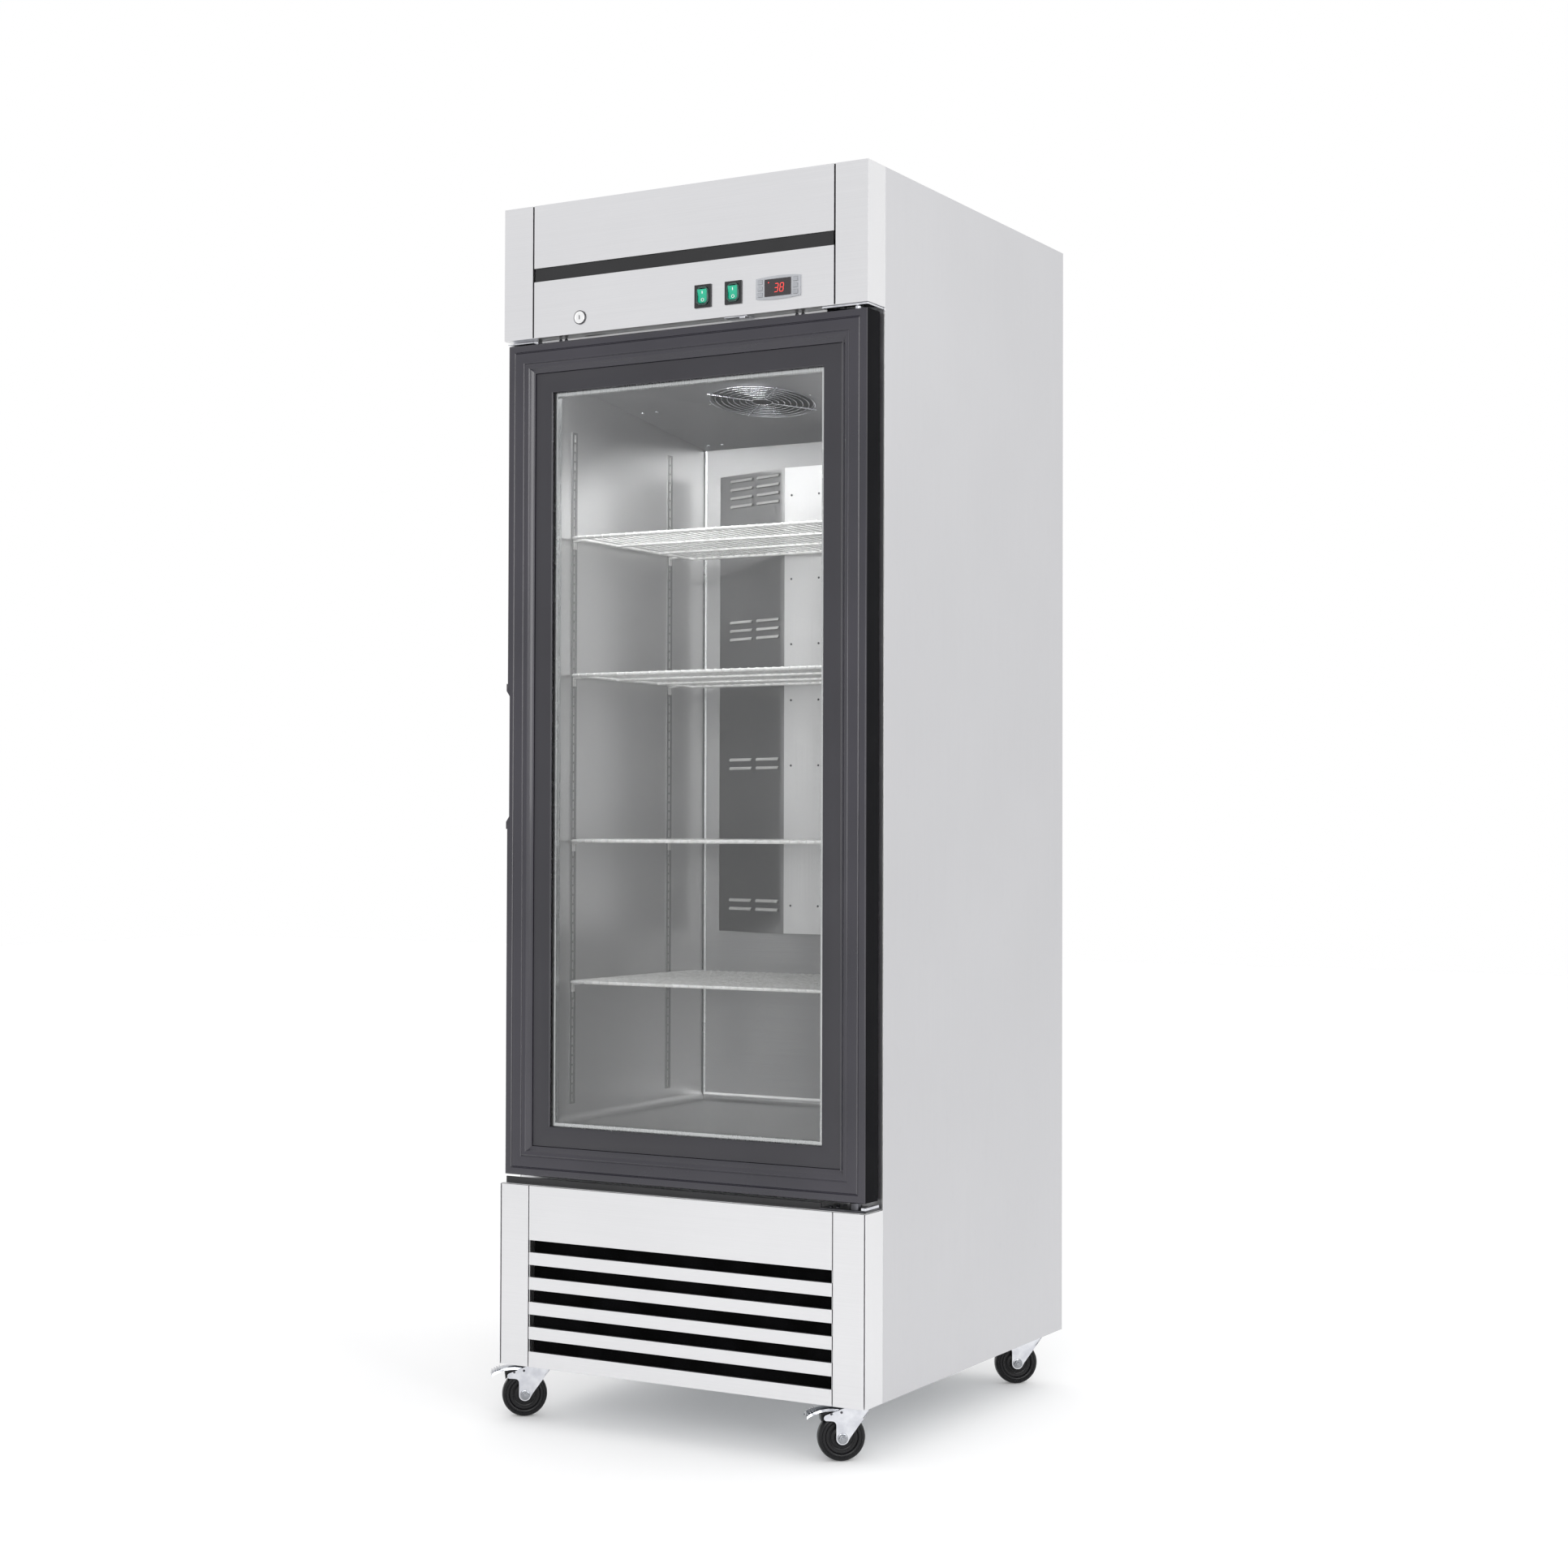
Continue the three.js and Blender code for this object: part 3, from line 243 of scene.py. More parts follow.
def lit(name, shade, strength):
    """A lit plastic lens or a display segment."""
    shader = Shader(name)
    glow = shader.noise(500.0, 2.0)
    return shader.finish(
        shader.mix(glow, shade, [part * 0.75 for part in shade]), 0.3 + 0.1 * glow,
        Emission_Color=colour(shade), Emission_Strength=strength, Coat_Weight=0.5,
    )


def smoked_window():
    shader = Shader("smoked_window")
    dust = shader.noise(1400.0).ramp(0.55, 0.8)
    return shader.finish(
        shader.mix(dust, (0.012, 0.007, 0.009), (0.05, 0.045, 0.05)), 0.09 + 0.15 * dust,
        Coat_Weight=0.6,
    )


def fins():
    """Stacked aluminium fins, told apart by a fine ribbed relief."""
    shader = Shader("fin_stock")
    sockets = {"Vector": shader.place(), "Scale": 130.0, "Distortion": 0.4}
    rib = shader.node("ShaderNodeTexWave", {"bands_direction": "X"}, sockets, "Fac")
    return shader.finish(
        shader.mix(rib, (0.32, 0.33, 0.34), (0.68, 0.69, 0.70)), 0.32 + 0.2 * rib,
        Metallic=1.0, Normal=shader.bump(rib, 0.6, 0.001),
    )


def foam_fill():
    shader = Shader("foam_fill")
    cell = shader.noise(600.0, 4.0)
    return shader.finish(
        shader.mix(cell, (0.80, 0.68, 0.40), (0.62, 0.50, 0.26)), 0.85 + 0.1 * cell,
        Normal=shader.bump(cell, 0.5, 0.001),
    )


def studio_floor():
    shader = Shader("studio_floor")
    grain = shader.noise(40.0)
    return shader.finish(
        shader.mix(grain, 0.93, 0.92), 0.75 + 0.1 * grain,
        Emission_Color=colour(1.0), Emission_Strength=0.1,
    )


def studio_world():
    """Near white all round, a touch greyer in front of the door."""
    shader = Shader("studio", world=True)
    way = shader.node("ShaderNodeTexCoord", out="Generated")
    depth = shader.node("ShaderNodeSeparateXYZ", None, {0: way}, "Y")
    tone = shader.node("ShaderNodeValToRGB", None, {"Fac": depth * 0.5 + 0.5})
    shades = tone.socket.node.color_ramp
    shades.interpolation = "EASE"
    first, last = shades.elements
    first.position, first.color = 0.12, (0.94, 0.94, 0.95, 1)
    last.position, last.color = 0.60, (1, 1, 1, 1)
    glow = shader.node("ShaderNodeBackground", None, {"Color": tone, "Strength": 1.0})
    return shader.done(glow, "ShaderNodeOutputWorld")


STEEL_FRONT = brushed("steel_front", (0.755, 0.755, 0.765), (0.72, 0.72, 0.73), 0.3, "x", 0.07, 0.05)
# The side panels take a darker copy of the front steel: painted shade on the sides.
STEEL_SIDE_SHADED = brushed("steel_side_painted_shade", (0.60, 0.60, 0.615), (0.575, 0.575, 0.59), 0.4, "z", 0.05, 0.04)
STEEL_LINER = brushed("steel_liner", 0.72, 0.64, 0.3, "x")
# A darker copy of the liner steel: painted shade on the back wall and the shelf strips.
LINER_BACK_SHADE = brushed("steel_plenum_painted_shade", 0.38, 0.33, 0.34, "x")
DUCT_FRONT = brushed("steel_duct_front", 0.78, 0.71, 0.34, "z", 0.06, 0.04)
# A much darker copy of the duct steel for its slanted faces: painted shade.
DUCT_SLANT_SHADE = brushed("steel_duct", 0.34, 0.29, 0.3, "x", 0.06, 0.05)
GALVANISED = galvanised_sheet()
ZINC = plated("bright_zinc", (0.70, 0.71, 0.74), (0.56, 0.57, 0.61), 0.14)
DARK_STEEL = plated("black_oxide", (0.10, 0.10, 0.11), (0.05, 0.05, 0.055), 0.3)
LOCK_METAL = plated("lock_face", 0.93, 0.88, 0.34)
COPPER = plated("copper_pipe", (0.85, 0.42, 0.26), (0.62, 0.26, 0.14), 0.22)
WIRE = coated_wire()
DOOR = door_paint("door_vinyl", (0.024, 0.022, 0.031), (0.016, 0.015, 0.022), 0.2)
# A near-black matt copy of the door vinyl for its side faces: painted shade.
DOOR_EDGE_SHADE = moulded(
    "door_edge_painted_shade", (0.004, 0.004, 0.005), (0.002, 0.002, 0.003), 0.75, 900.0, 0.1, gloss=0.1
)
# A darker copy of the door vinyl for the recessed bead: painted shade.
BEAD_SHADED = door_paint("bead_vinyl_painted_shade", (0.015, 0.014, 0.020), (0.010, 0.009, 0.014), 0.34)
BLACK = moulded("black_plastic", (0.014, 0.014, 0.016), (0.009, 0.009, 0.010), 0.36)
BAND = moulded("band_plastic", (0.009, 0.009, 0.010), (0.006, 0.006, 0.007), 0.5, bump=0.04)
BEZEL = moulded("controller_grey", (0.40, 0.41, 0.43), (0.33, 0.34, 0.36), 0.34, 1100.0)
KEYS = moulded("key_rubber", (0.34, 0.35, 0.37), (0.28, 0.29, 0.31), 0.5, 1900.0)
GASKET = moulded("gasket_vinyl", (0.016, 0.016, 0.017), (0.010, 0.010, 0.011), 0.6, 700.0)
TYRE = moulded(
    "wheel_rubber", (0.007, 0.007, 0.008), (0.004, 0.004, 0.005), 0.26, 800.0, 0.08, gloss=0.28
)
# A darker copy of the bright zinc for the pedal: painted reflection of the black wheel under it.
PEDAL_REFLECTION_SHADE = plated("pedal_plate_painted_reflection", (0.56, 0.57, 0.60), (0.34, 0.35, 0.38), 0.1)
AXLE = plated("axle_steel", (0.40, 0.41, 0.43), (0.26, 0.27, 0.29), 0.2)
ENAMEL = moulded("compressor_enamel", (0.012, 0.012, 0.013), (0.008, 0.008, 0.009), 0.28, 500.0)
PRINT = moulded("white_print", (0.86, 0.88, 0.87), (0.80, 0.82, 0.81), 0.4)
GREEN = lit("green_lens", (0.0, 0.36, 0.21), 0.22)
BOOT = moulded("switch_boot", (0.010, 0.055, 0.042), (0.006, 0.035, 0.028), 0.2, 500.0, 0.05, 0.6)
RED = lit("red_segment", (0.9, 0.05, 0.04), 0.8)
GLASS_FRONT = pane("front_glass", (0.985, 0.986, 0.986))
GLASS_REAR = pane("rear_glass", (0.986, 0.987, 0.987))
SPACER = brushed("spacer_bar", (0.58, 0.59, 0.59), (0.48, 0.49, 0.49), 0.25, "z", 0.06)
# A pale non-metal finish on the steel vent lips: painted highlight where they catch the light.
LIP_HIGHLIGHT = moulded("vent_lip", (0.62, 0.62, 0.61), (0.54, 0.54, 0.53), 0.3, 700.0, 0.05)
# A darker copy of the liner steel for the ceiling cover: painted shade.
CEILING_SHADE = brushed("steel_ceiling_painted_shade", (0.40, 0.40, 0.41), (0.34, 0.34, 0.35), 0.36, "x", 0.06, 0.05)
WINDOW = smoked_window()
FINS = fins()
FOAM = foam_fill()
# A near-black foam sheet behind the grille: painted shade in its slots.
GRILLE_SHADE_SHEET = moulded("grille_shade_foam", (0.0035, 0.0035, 0.004), 0.001, 0.92, 900.0, 0.6, gloss=0.05)


# ------------------------ mesh making
class Form:
    """A piece's mesh while it is being made, from points in millimetres."""

    def __init__(self, turn=None):
        self.mesh = bmesh.new()
        self.turn = turn or Matrix.Identity(4)

    def skin(self, rings, closed=False):
        """Joins rings of points, each with as many as the last, and caps open ends."""
        rows = [[self.mesh.verts.new(self.turn @ (Vector(p) * mm)) for p in ring] for ring in rings]
        count = len(rows[0])
        pairs = list(zip(rows, rows[1:]))
        if closed:
            pairs.append((rows[-1], rows[0]))
        for first, second in pairs:
            for i in range(count):
                j = (i + 1) % count
                self.mesh.faces.new((first[i], first[j], second[j], second[i]))
        if not closed:
            self.mesh.faces.new(rows[0][::-1])
            self.mesh.faces.new(rows[-1])
        return self

    def hoop(self, levels):
        """Outlines in X and Z, each at its own Y, joined into a closed ring."""
        return self.skin([[(x, y, z) for x, z in outline] for outline, y in levels], closed=True)

    def prism(self, outline, axis, low, high):
        """An outline thick along one axis; its two numbers are the other axes in order."""
        return self.skin([[lifted(axis, point, level) for point in outline] for level in (low, high)])

    def box(self, low, high):
        outline = [(low[0], low[1]), (high[0], low[1]), (high[0], high[1]), (low[0], high[1])]
        return self.prism(outline, "z", low[2], high[2])

    def block(self, base, low, high):
        """A box whose corners are given from a base point."""
        return self.box(Vector(base) + Vector(low), Vector(base) + Vector(high))

    def disc(self, profile, centre, axis, segments=24):
        """A profile of (radius, height) about an axis, closed with caps."""
        return self.skin(circles(profile, centre, axis, segments))

    def turned(self, profile, centre, axis, segments=56):
        """A closed profile of (radius, height) about an axis, with a hole through it."""
        return self.skin(list(zip(*circles(profile, centre, axis, segments))), closed=True)

    def tube(self, path, radius, sides=10, closed=False):
        """A round bar along points, with rounded ends where it is open."""
        points = [Vector(p) for p in path]
        count = len(points)
        side = None
        rings = []
        for i, point in enumerate(points):
            ahead = points[(i + 1) % count] if closed or i < count - 1 else point
            behind = points[i - 1] if closed or i > 0 else point
            along = (ahead - behind).normalized()
            if side is None:
                guide = Vector((0, 0, 1)) if abs(along.z) < 0.8 else Vector((1, 0, 0))
                side = guide.cross(along).normalized()
            else:
                side = (side - along * side.dot(along)).normalized()
            up = along.cross(side)
            around = [2 * math.pi * step / sides for step in range(sides)]
            rings.append([(side * math.cos(a) + up * math.sin(a), point, along) for a in around])
        made = [[point + out * radius for out, point, _ in ring] for ring in rings]
        if not closed:
            shares = (0.2, 0.6, 0.92)
            made = [dome(rings[0], radius, -1, share) for share in shares] + made
            made += [dome(rings[-1], radius, 1, share) for share in reversed(shares)]
        return self.skin(made, closed=closed)

    def mitred(self, profile, half, low, high, centre):
        """A closed profile of (inset, y) carried round a rectangle in the XZ plane."""
        rings = []
        for side, edge, inward in ((-1, low, 1), (1, low, 1), (1, high, -1), (-1, high, -1)):
            rings.append([
                (centre + side * (half - inset), y, edge + inward * inset) for inset, y in profile
            ])
        return self.skin(rings, closed=True)

    def shape(self, name, material=None):
        """Finishes the mesh as a plain object."""
        bmesh.ops.recalc_face_normals(self.mesh, faces=self.mesh.faces)
        mesh = bpy.data.meshes.new(name)
        self.mesh.to_mesh(mesh)
        self.mesh.free()
        if material:
            mesh.materials.append(material)
        return placed(name, mesh)

    def piece(self, name, material, slot, body="cabinet", stands_for=(), bevel=0.0, sharp=35):
        """Finishes the mesh as a piece that rides on a body."""
        made = self.shape(name, material)
        finish_edges(made, bevel, sharp)
        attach(made, body)
        if stands_for:
            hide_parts(*stands_for)
        return made


def placed(name, data):
    """A new object in the scene."""
    made = bpy.data.objects.new(name, data)
    bpy.context.scene.collection.objects.link(made)
    return made


def lifted(axis, flat, level):
    """A point from its two flat coordinates and its level along an axis."""
    point = list(flat)
    point.insert("xyz".index(axis), level)
    return tuple(point)


def circles(profile, centre, axis, segments):
    """A ring of points about an axis through centre for each (radius, height)."""
    return [
        [Vector(centre) + Vector(lifted(axis, flat, height)) for flat in circle((0, 0), radius, segments)]
        for radius, height in profile
    ]


def dome(ring, radius, way, share):
    """A smaller ring beyond the end of a bar."""
    beyond = math.sqrt(1 - share * share) * radius
    return [point + out * radius * share + along * way * beyond for out, point, along in ring]


def arc(centre, radius, start, stop, steps):
    """Points on an arc in a plane, in degrees."""
    angles = [math.radians(start + (stop - start) * step / steps) for step in range(steps + 1)]
    return [(centre[0] + radius * math.cos(a), centre[1] + radius * math.sin(a)) for a in angles]


def circle(centre, radius, count):
    return arc(centre, radius, 0, 360, count)[:-1]


def shifted(points, along, up):
    """Flat points moved by the same amounts."""
    return [(along + a, up + b) for a, b in points]


def rounded(x, z, wide, tall, radius):
    """A rectangle's outline with round corners."""
    points = []
    for sx, sz, start in ((1, 1, 0), (-1, 1, 90), (-1, -1, 180), (1, -1, 270)):
        centre = (x + sx * (wide - radius), z + sz * (tall - radius))
        points += arc(centre, radius, start, start + 90, 5)
    return points


def finish_edges(made, bevel, sharp):
    """Smooth shading with sharp corners, and a worked radius of bevel millimetres on them."""
    made.data.shade_smooth()
    made.data.set_sharp_from_angle(angle=math.radians(sharp))
    if bevel:
        edges = made.modifiers.new("worked_edges", "BEVEL")
        edges.width = bevel * mm
        edges.segments = 2
        edges.limit_method = "ANGLE"
        edges.angle_limit = math.radians(sharp)
        edges.harden_normals = True


def worked(node, material, slot, bevel):
    """A CAD node's own shape with its sheet or moulded edges rounded."""
    same_point, same_plane = 2e-6, math.radians(0.6)
    form = Form()
    form.mesh.from_mesh(frame["nodes"][node].data)
    verts, edges = form.mesh.verts, form.mesh.edges
    bmesh.ops.remove_doubles(form.mesh, verts=verts, dist=same_point)
    bmesh.ops.dissolve_limit(form.mesh, angle_limit=same_plane, verts=verts, edges=edges)
    bodies = frame["record"]["behaviour"]["bodies"]
    body = next(name for name, members in bodies.items() if node in members)
    return form.piece(f"{node}_worked", material, slot, body, (node,), bevel)


def paint(node, material):
    """A better material on a CAD node that stays as it is."""
    data = frame["nodes"][node].data
    data.materials.clear()
    data.materials.append(material)


def carve(made, form):
    """Cuts a form out of a piece, for good."""
    cutter = form.shape("cutter")
    cut = made.modifiers.new("cut", "BOOLEAN")
    cut.object = cutter
    cut.solver = "EXACT"
    shown = bpy.context.evaluated_depsgraph_get()
    mesh = bpy.data.meshes.new_from_object(made.evaluated_get(shown))
    made.modifiers.clear()
    made.data = mesh
    bpy.data.objects.remove(cutter)


def screws(name, material, places, axis, way, radius):
    """Low domed screw heads on the cabinet, made as one piece."""
    rise = way * radius * 0.55
    head = [(radius, 0), (radius, rise * 0.35), (radius * 0.8, rise * 0.8), (radius * 0.4, rise)]
    form = Form()
    for place in places:
        form.disc(head, place, axis, 16)
    form.piece(name, material, "zinc", sharp=50)


# ------------------------ studio
def camera(middle, front):
    """A long view from the front and right, at the height of the middle of the cabinet."""
    yaw, pitch, roll = (math.radians(angle) for angle in (29.78, -1.027, 0.178))
    back = Vector((
        math.sin(yaw) * math.cos(pitch), -math.cos(yaw) * math.cos(pitch), math.sin(pitch)
    ))
    right = (-back).cross(Vector((0, 0, 1))).normalized()
    up = right.cross(-back)
    level_right = right * math.cos(roll) + up * math.sin(roll)
    level_up = up * math.cos(roll) - right * math.sin(roll)
    turn = Matrix((level_right, level_up, back)).transposed()
    data = bpy.data.cameras.new("studio_camera")
    data.sensor_width = 36.0
    data.lens = 58.79
    data.clip_end = 60.0
    made = placed("studio_camera", data)
    made.matrix_world = Matrix.Translation((middle + 2.1794, front - 3.4643, 0.977)) @ turn.to_4x4()
    bpy.context.scene.camera = made


def lights(middle, front):
    """Soft boxes round the cabinet, and the lamp behind its header. In metres and watts."""
    for name, at, target, size, power in (
        ("key_softbox", (2.7, -5.0, 2.3), (0, 0, 1.0), (2.6, 2.6), 85),
        ("strip_softbox", (3.3, -2.3, 1.1), (0.2, -0.4, 1.1), (0.5, 2.6), 26),
        ("rim_softbox", (3.6, 1.5, 2.8), (0.2, 0, 1.0), (2.0, 2.0), 14),
        ("cabinet_lamp", (middle, front + 0.085, 1.716), (middle, 0.12, 0.5), (0.44, 0.035), 2.3),
    ):
        lamp = bpy.data.lights.new(name, "AREA")
        lamp.shape = "RECTANGLE"
        lamp.size, lamp.size_y = size
        lamp.energy = power
        made = placed(name, lamp)
        toward = Vector(target) - Vector(at)
        made.rotation_euler = toward.to_track_quat("-Z", "Y").to_euler()
        made.location = at


def studio():
    """The camera, the world, the lights and the floor."""
    low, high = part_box("top_panel")
    middle = (low.x + high.x) / 2
    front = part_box("header_post_left")[0].y
    camera(middle, front)
    bpy.context.scene.view_settings.view_transform = "Standard"
    bpy.context.scene.world = studio_world()
    lights(middle, front)
    floor = Form().box((-14000, -14000, -20), (14000, 14000, 0))
    floor.shape("studio_floor", studio_floor())


# ------------------------ cabinet outside
def sheet_metal():
    """Skins, posts and panels, with the small radius of a folded sheet at each edge."""
    fold = 0.45
    # The side panels get the darker steel copy: painted shade.
    for node in ("side_panel_left", "side_panel_right"):
        worked(node, STEEL_SIDE_SHADED, "stainless", fold)
    for node in (
        "header_post_left", "header_post_right", "header_upper_panel", "control_panel",
        "base_post_left", "base_post_right", "base_grille", "top_panel", "face_frame",
    ):
        worked(node, STEEL_FRONT, "stainless", fold)
    worked("header_band", BAND, "black_plastic", fold)
    low, high = box_of("base_grille")
    left, hinge = box_of("base_post_left")[1].x - 54, box_of("hinge_bottom")[0]
    right, front, level = hinge.x - 2, hinge.y, high.z
    # A black strip on the base ledge under the door: painted shade in the dark band there.
    ledge = Form()
    ledge.box((left, front + 5, level - 0.2), (right, front + 52, level + 1))
    ledge.box((left, front + 9, level), (right, front + 11, level + 11))
    ledge.piece("base_ledge_shade_strip", BLACK, "black_plastic", bevel=0.4)
    # A near-black sheet behind the grille's slots, so that they read as black: painted shade.
    mat = Form().box((low.x + 0.6, high.y + 1, low.z + 3), (high.x - 0.6, high.y + 6, low.z + 218))
    mat.piece("grille_shade_mat", GRILLE_SHADE_SHEET, "black_plastic", bevel=0.6)
    worked("chassis", GALVANISED, "galvanised", 0.3)
    paint("insulation", FOAM)
    paint("liner", STEEL_LINER)


def back_of_cabinet():
    """The back sheet with a hood over each louvre and screws round its edge."""
    worked("back_panel", GALVANISED, "galvanised", 0.3)
    low, high = box_of("back_panel")
    rows, pitch, first_top, inset, edge = 7, 32, low.z + 72, 70, 14
    # A hood curls out from the top of its slot and down over it.
    curl = [(-0.4, 2.0), (1.1, 1.0), (1.9, -1.5), (2.1, -5.0),
            (1.5, -5.0), (1.2, -1.8), (0.6, -0.2), (-0.4, 0.8)]
    hoods = Form()
    for row in range(rows):
        section = shifted(curl, high.y, first_top + row * pitch)
        hoods.prism(section, "x", low.x + inset, high.x - inset)
    hoods.piece("back_louvre_hoods", GALVANISED, "galvanised", sharp=50)
    upright, across = (high.z - low.z - 60) / 8, (high.x - low.x - 2 * edge) / 5
    heads = [
        (side, high.y, low.z + 30 + step * upright)
        for side in (low.x + edge, high.x - edge) for step in range(9)
    ]
    heads += [
        (low.x + edge + step * across, high.y, level)
        for step in range(1, 5) for level in (low.z + 300, high.z - edge)
    ]
    screws("back_screws", ZINC, heads, "y", 1, 3.4)
    worked("power_inlet", BLACK, "black_plastic", 0.5)
    level = low.z + 290
    rail = Form().box((low.x + 2, high.y - 0.2, level), (high.x - 2, high.y + 1, level + 22))
    rail.piece("back_cross_rail", GALVANISED, "galvanised", bevel=0.4)


def top_of_cabinet():
    """Screws on the lid, which only show from above."""
    low, high = box_of("top_panel")
    pitch = (high.y - low.y - 130) / 4
    heads = [
        (side, low.y + 90 + step * pitch, high.z)
        for side in (low.x + 20, high.x - 20) for step in range(5)
    ]
    screws("top_screws", ZINC, heads, "z", 1, 3.4)


def under_header_fittings():
    """Screws, a latch strip and a bent tab in the gap between the header and the door."""
    left, front, below = box_of("header_post_left")[0]
    door_top = box_of("door_frame")[1].z
    strip = Form()
    strip.box((left + 4, front + 5, door_top + 1.6), (left + 54, front + 22, door_top + 3.2))
    strip.box((left + 4, front + 20, door_top + 1.6), (left + 54, front + 22, below - 0.2))
    strip.piece("header_latch_strip", ZINC, "zinc", bevel=0.5)
    end = box_of("hinge_top")[0].x - 3
    rail = Form().box((left + 58, front + 26, door_top + 1.2), (end, front + 28, below - 0.2))
    rail.piece("header_inner_rail", STEEL_LINER, "stainless", bevel=0.3)
    heads = [(left + across, front + 26, below - 3.4) for across in (96, 107, 546, 557)]
    screws("header_screws", DARK_STEEL, heads, "y", -1, 3.0)
    tab = Form()
    tab.block((left + 427, front, below), (0, 1.5, -2.2), (42, 26, -0.4))
    tab.block((left + 455, front, below), (0, 1.5, -4.6), (10, 3.0, -1.4))
    tab.piece("header_stop_tab", ZINC, "zinc", bevel=0.5)


def hinges():
    """Plates with pins, their screws and the bracket the door rests on."""
    worked("hinge_top", ZINC, "zinc", 0.5)
    worked("hinge_bottom", DARK_STEEL, "zinc", 0.5)
    low, high = box_of("hinge_bottom")
    plate_top = low.z + 3
    heads = [(low.x + across, low.y + deep, plate_top) for across in (12, 24) for deep in (14, 40)]
    screws("bottom_hinge_screws", DARK_STEEL, heads, "z", 1, 3.4)
    bracket = Form().block((high.x, low.y, plate_top), (-9, 1, -0.2), (-1, 46, 4.5))
    bracket.piece("bottom_hinge_bracket", ZINC, "zinc", bevel=0.8)
    low, high = box_of("hinge_top")
    heads = [(low.x + across, high.y - 18, high.z - 3) for across in (10, 24)]
    screws("top_hinge_screws", ZINC, heads, "z", -1, 3.4)


# ------------------------ controls
def lock():
    """A round face with a stepped rim and a keyway, over the CAD barrel and cam."""
    worked("lock_barrel", LOCK_METAL, "lock_nickel", 0.35)
    pin = pin_of("lock_turn")
    front = box_of("lock_barrel")[0].y
    profile = [(10.2, 0.9), (10.2, 0.1), (9.7, -0.5), (8.2, -0.7), (7.4, -0.3), (7.0, -0.1), (7.0, 0.9)]
    rim = Form().turned(profile, (pin.x, front, pin.z), "y")
    rim.piece("lock_rim", LOCK_METAL, "lock_nickel", "lock", sharp=40)
    profile = [(11.4, 1.0), (11.4, 0.45), (10.1, 0.45), (10.1, 1.0)]
    surround = Form().turned(profile, (pin.x, front, pin.z), "y")
    surround.piece("lock_surround", DARK_STEEL, "lock_nickel", sharp=40)
    keyway = Form().block((pin.x, front, pin.z), (-0.7, -0.25, -3), (0.7, 0.4, 3))
    keyway.piece("lock_keyway", DARK_STEEL, "lock_nickel", "lock", bevel=0.2)


def switch(use):
    """A rocker with an octagonal collar, in a square black bezel."""
    housing, rocker = f"switch_{use}_housing", f"switch_{use}_rocker"
    worked(housing, BLACK, "black_plastic", 0.6)
    worked(rocker, GREEN, "green_lens", 0.5)
    low, high = box_of(rocker)
    middle = (low + high) / 2

    # The marks follow the rocker's two flats: a bar above the pivot and a ring below it.
    marks = Form()
    marks.block((middle.x, low.y, middle.z), (-0.6, 0.9, 3.6), (0.6, 3.0, 8.2))
    ring = [(x, low.y + 2.4, z) for x, z in circle((middle.x, middle.z - 6), 2.4, 16)]
    marks.tube(ring, 0.45, 8, closed=True)
    marks.piece(f"switch_{use}_marks", PRINT, "green_lens", f"{use}_rocker")

    wide, tall, cut, rim = 11.2, 14.6, 5.0, 2.3
    face = box_of(housing)[0].y
    outer = octagon(middle, wide, tall, cut)
    crest = octagon(middle, wide - 0.5, tall - 0.5, cut)
    inner = octagon(middle, wide - rim, tall - rim, cut - 0.7)
    back, side, top = face + 0.3, face - 1.9, face - 2.4
    collar = Form().hoop([(outer, back), (outer, side), (crest, top), (inner, side), (inner, back)])
    collar.piece(f"switch_{use}_collar", BOOT, "black_plastic", sharp=45)


def octagon(middle, wide, tall, cut):
    """An outline in X and Z with its corners cut off."""
    flat, steep = wide - cut, tall - cut
    corners = [(-flat, -tall), (flat, -tall), (wide, -steep), (wide, steep),
               (flat, tall), (-flat, tall), (-wide, steep), (-wide, -steep)]
    return shifted(corners, middle.x, middle.z)


SEGMENTS = {"3": "abcdg", "8": "abcdefg"}


def digit(form, text, left, bottom, front):
    """One leaning seven-segment digit: seven bars, of which some are lit."""
    wide, tall, slant = 6.2, 13, 0.12
    thick, half = wide * 0.15, tall / 2
    bars = {
        "a": ((0, tall), (wide, tall)), "g": ((0, half), (wide, half)), "d": ((0, 0), (wide, 0)),
        "f": ((0, half), (0, tall)), "b": ((wide, half), (wide, tall)),
        "e": ((0, 0), (0, half)), "c": ((wide, 0), (wide, half)),
    }
    for name in SEGMENTS[text]:
        start, stop = (Vector(point) for point in bars[name])
        along = (stop - start).normalized()
        across = Vector((-along.y, along.x)) * thick / 2
        near, far = start + along * thick * 0.35, stop - along * thick * 0.35
        tip = along * thick / 2
        points = [
            near, near + tip + across, far - tip + across, far, far - tip - across, near + tip - across
        ]
        outline = [(left + p.x + slant * p.y, bottom + p.y) for p in points]
        form.prism(outline, "y", front - 0.12, front + 0.05)


def controller():
    """The bezel, its six keys, a smoked window and the reading behind it."""
    worked("controller", BEZEL, "controller_grey", 0.5)
    worked("controller_keypad", KEYS, "key_rubber", 0.4)
    low, high = box_of("controller")
    x, z = (low.x + high.x) / 2, (low.z + high.z) / 2
    face = low.y + 0.6
    window = Form().prism(rounded(x, z, 24.2, 13.9, 2.0), "y", face - 0.3, face + 0.5)
    window.piece("controller_window", WINDOW, "black_plastic", bevel=0.2)
    reading = Form()
    for text, left in (("3", -6.8), ("8", 3.0)):
        digit(reading, text, x + left, z - 7, face - 0.35)
    dot = [(0.2, 0), (0.9, 0), (0.9, 0.3), (0.2, 0.3)]
    reading.turned(dot, (x - 17, face - 0.4, z + 8.5), "y", 16)
    reading.piece("controller_reading", RED, "black_plastic")
    outer, inner = rounded(x, z, 25.0, 14.6, 2.4), rounded(x, z, 24.2, 13.8, 2.0)
    back, front = low.y + 0.4, low.y - 0.25
    trim = Form().hoop([(outer, back), (outer, front), (inner, front), (inner, back)])
    trim.piece("controller_window_trim", BEZEL, "controller_grey", bevel=0.15)


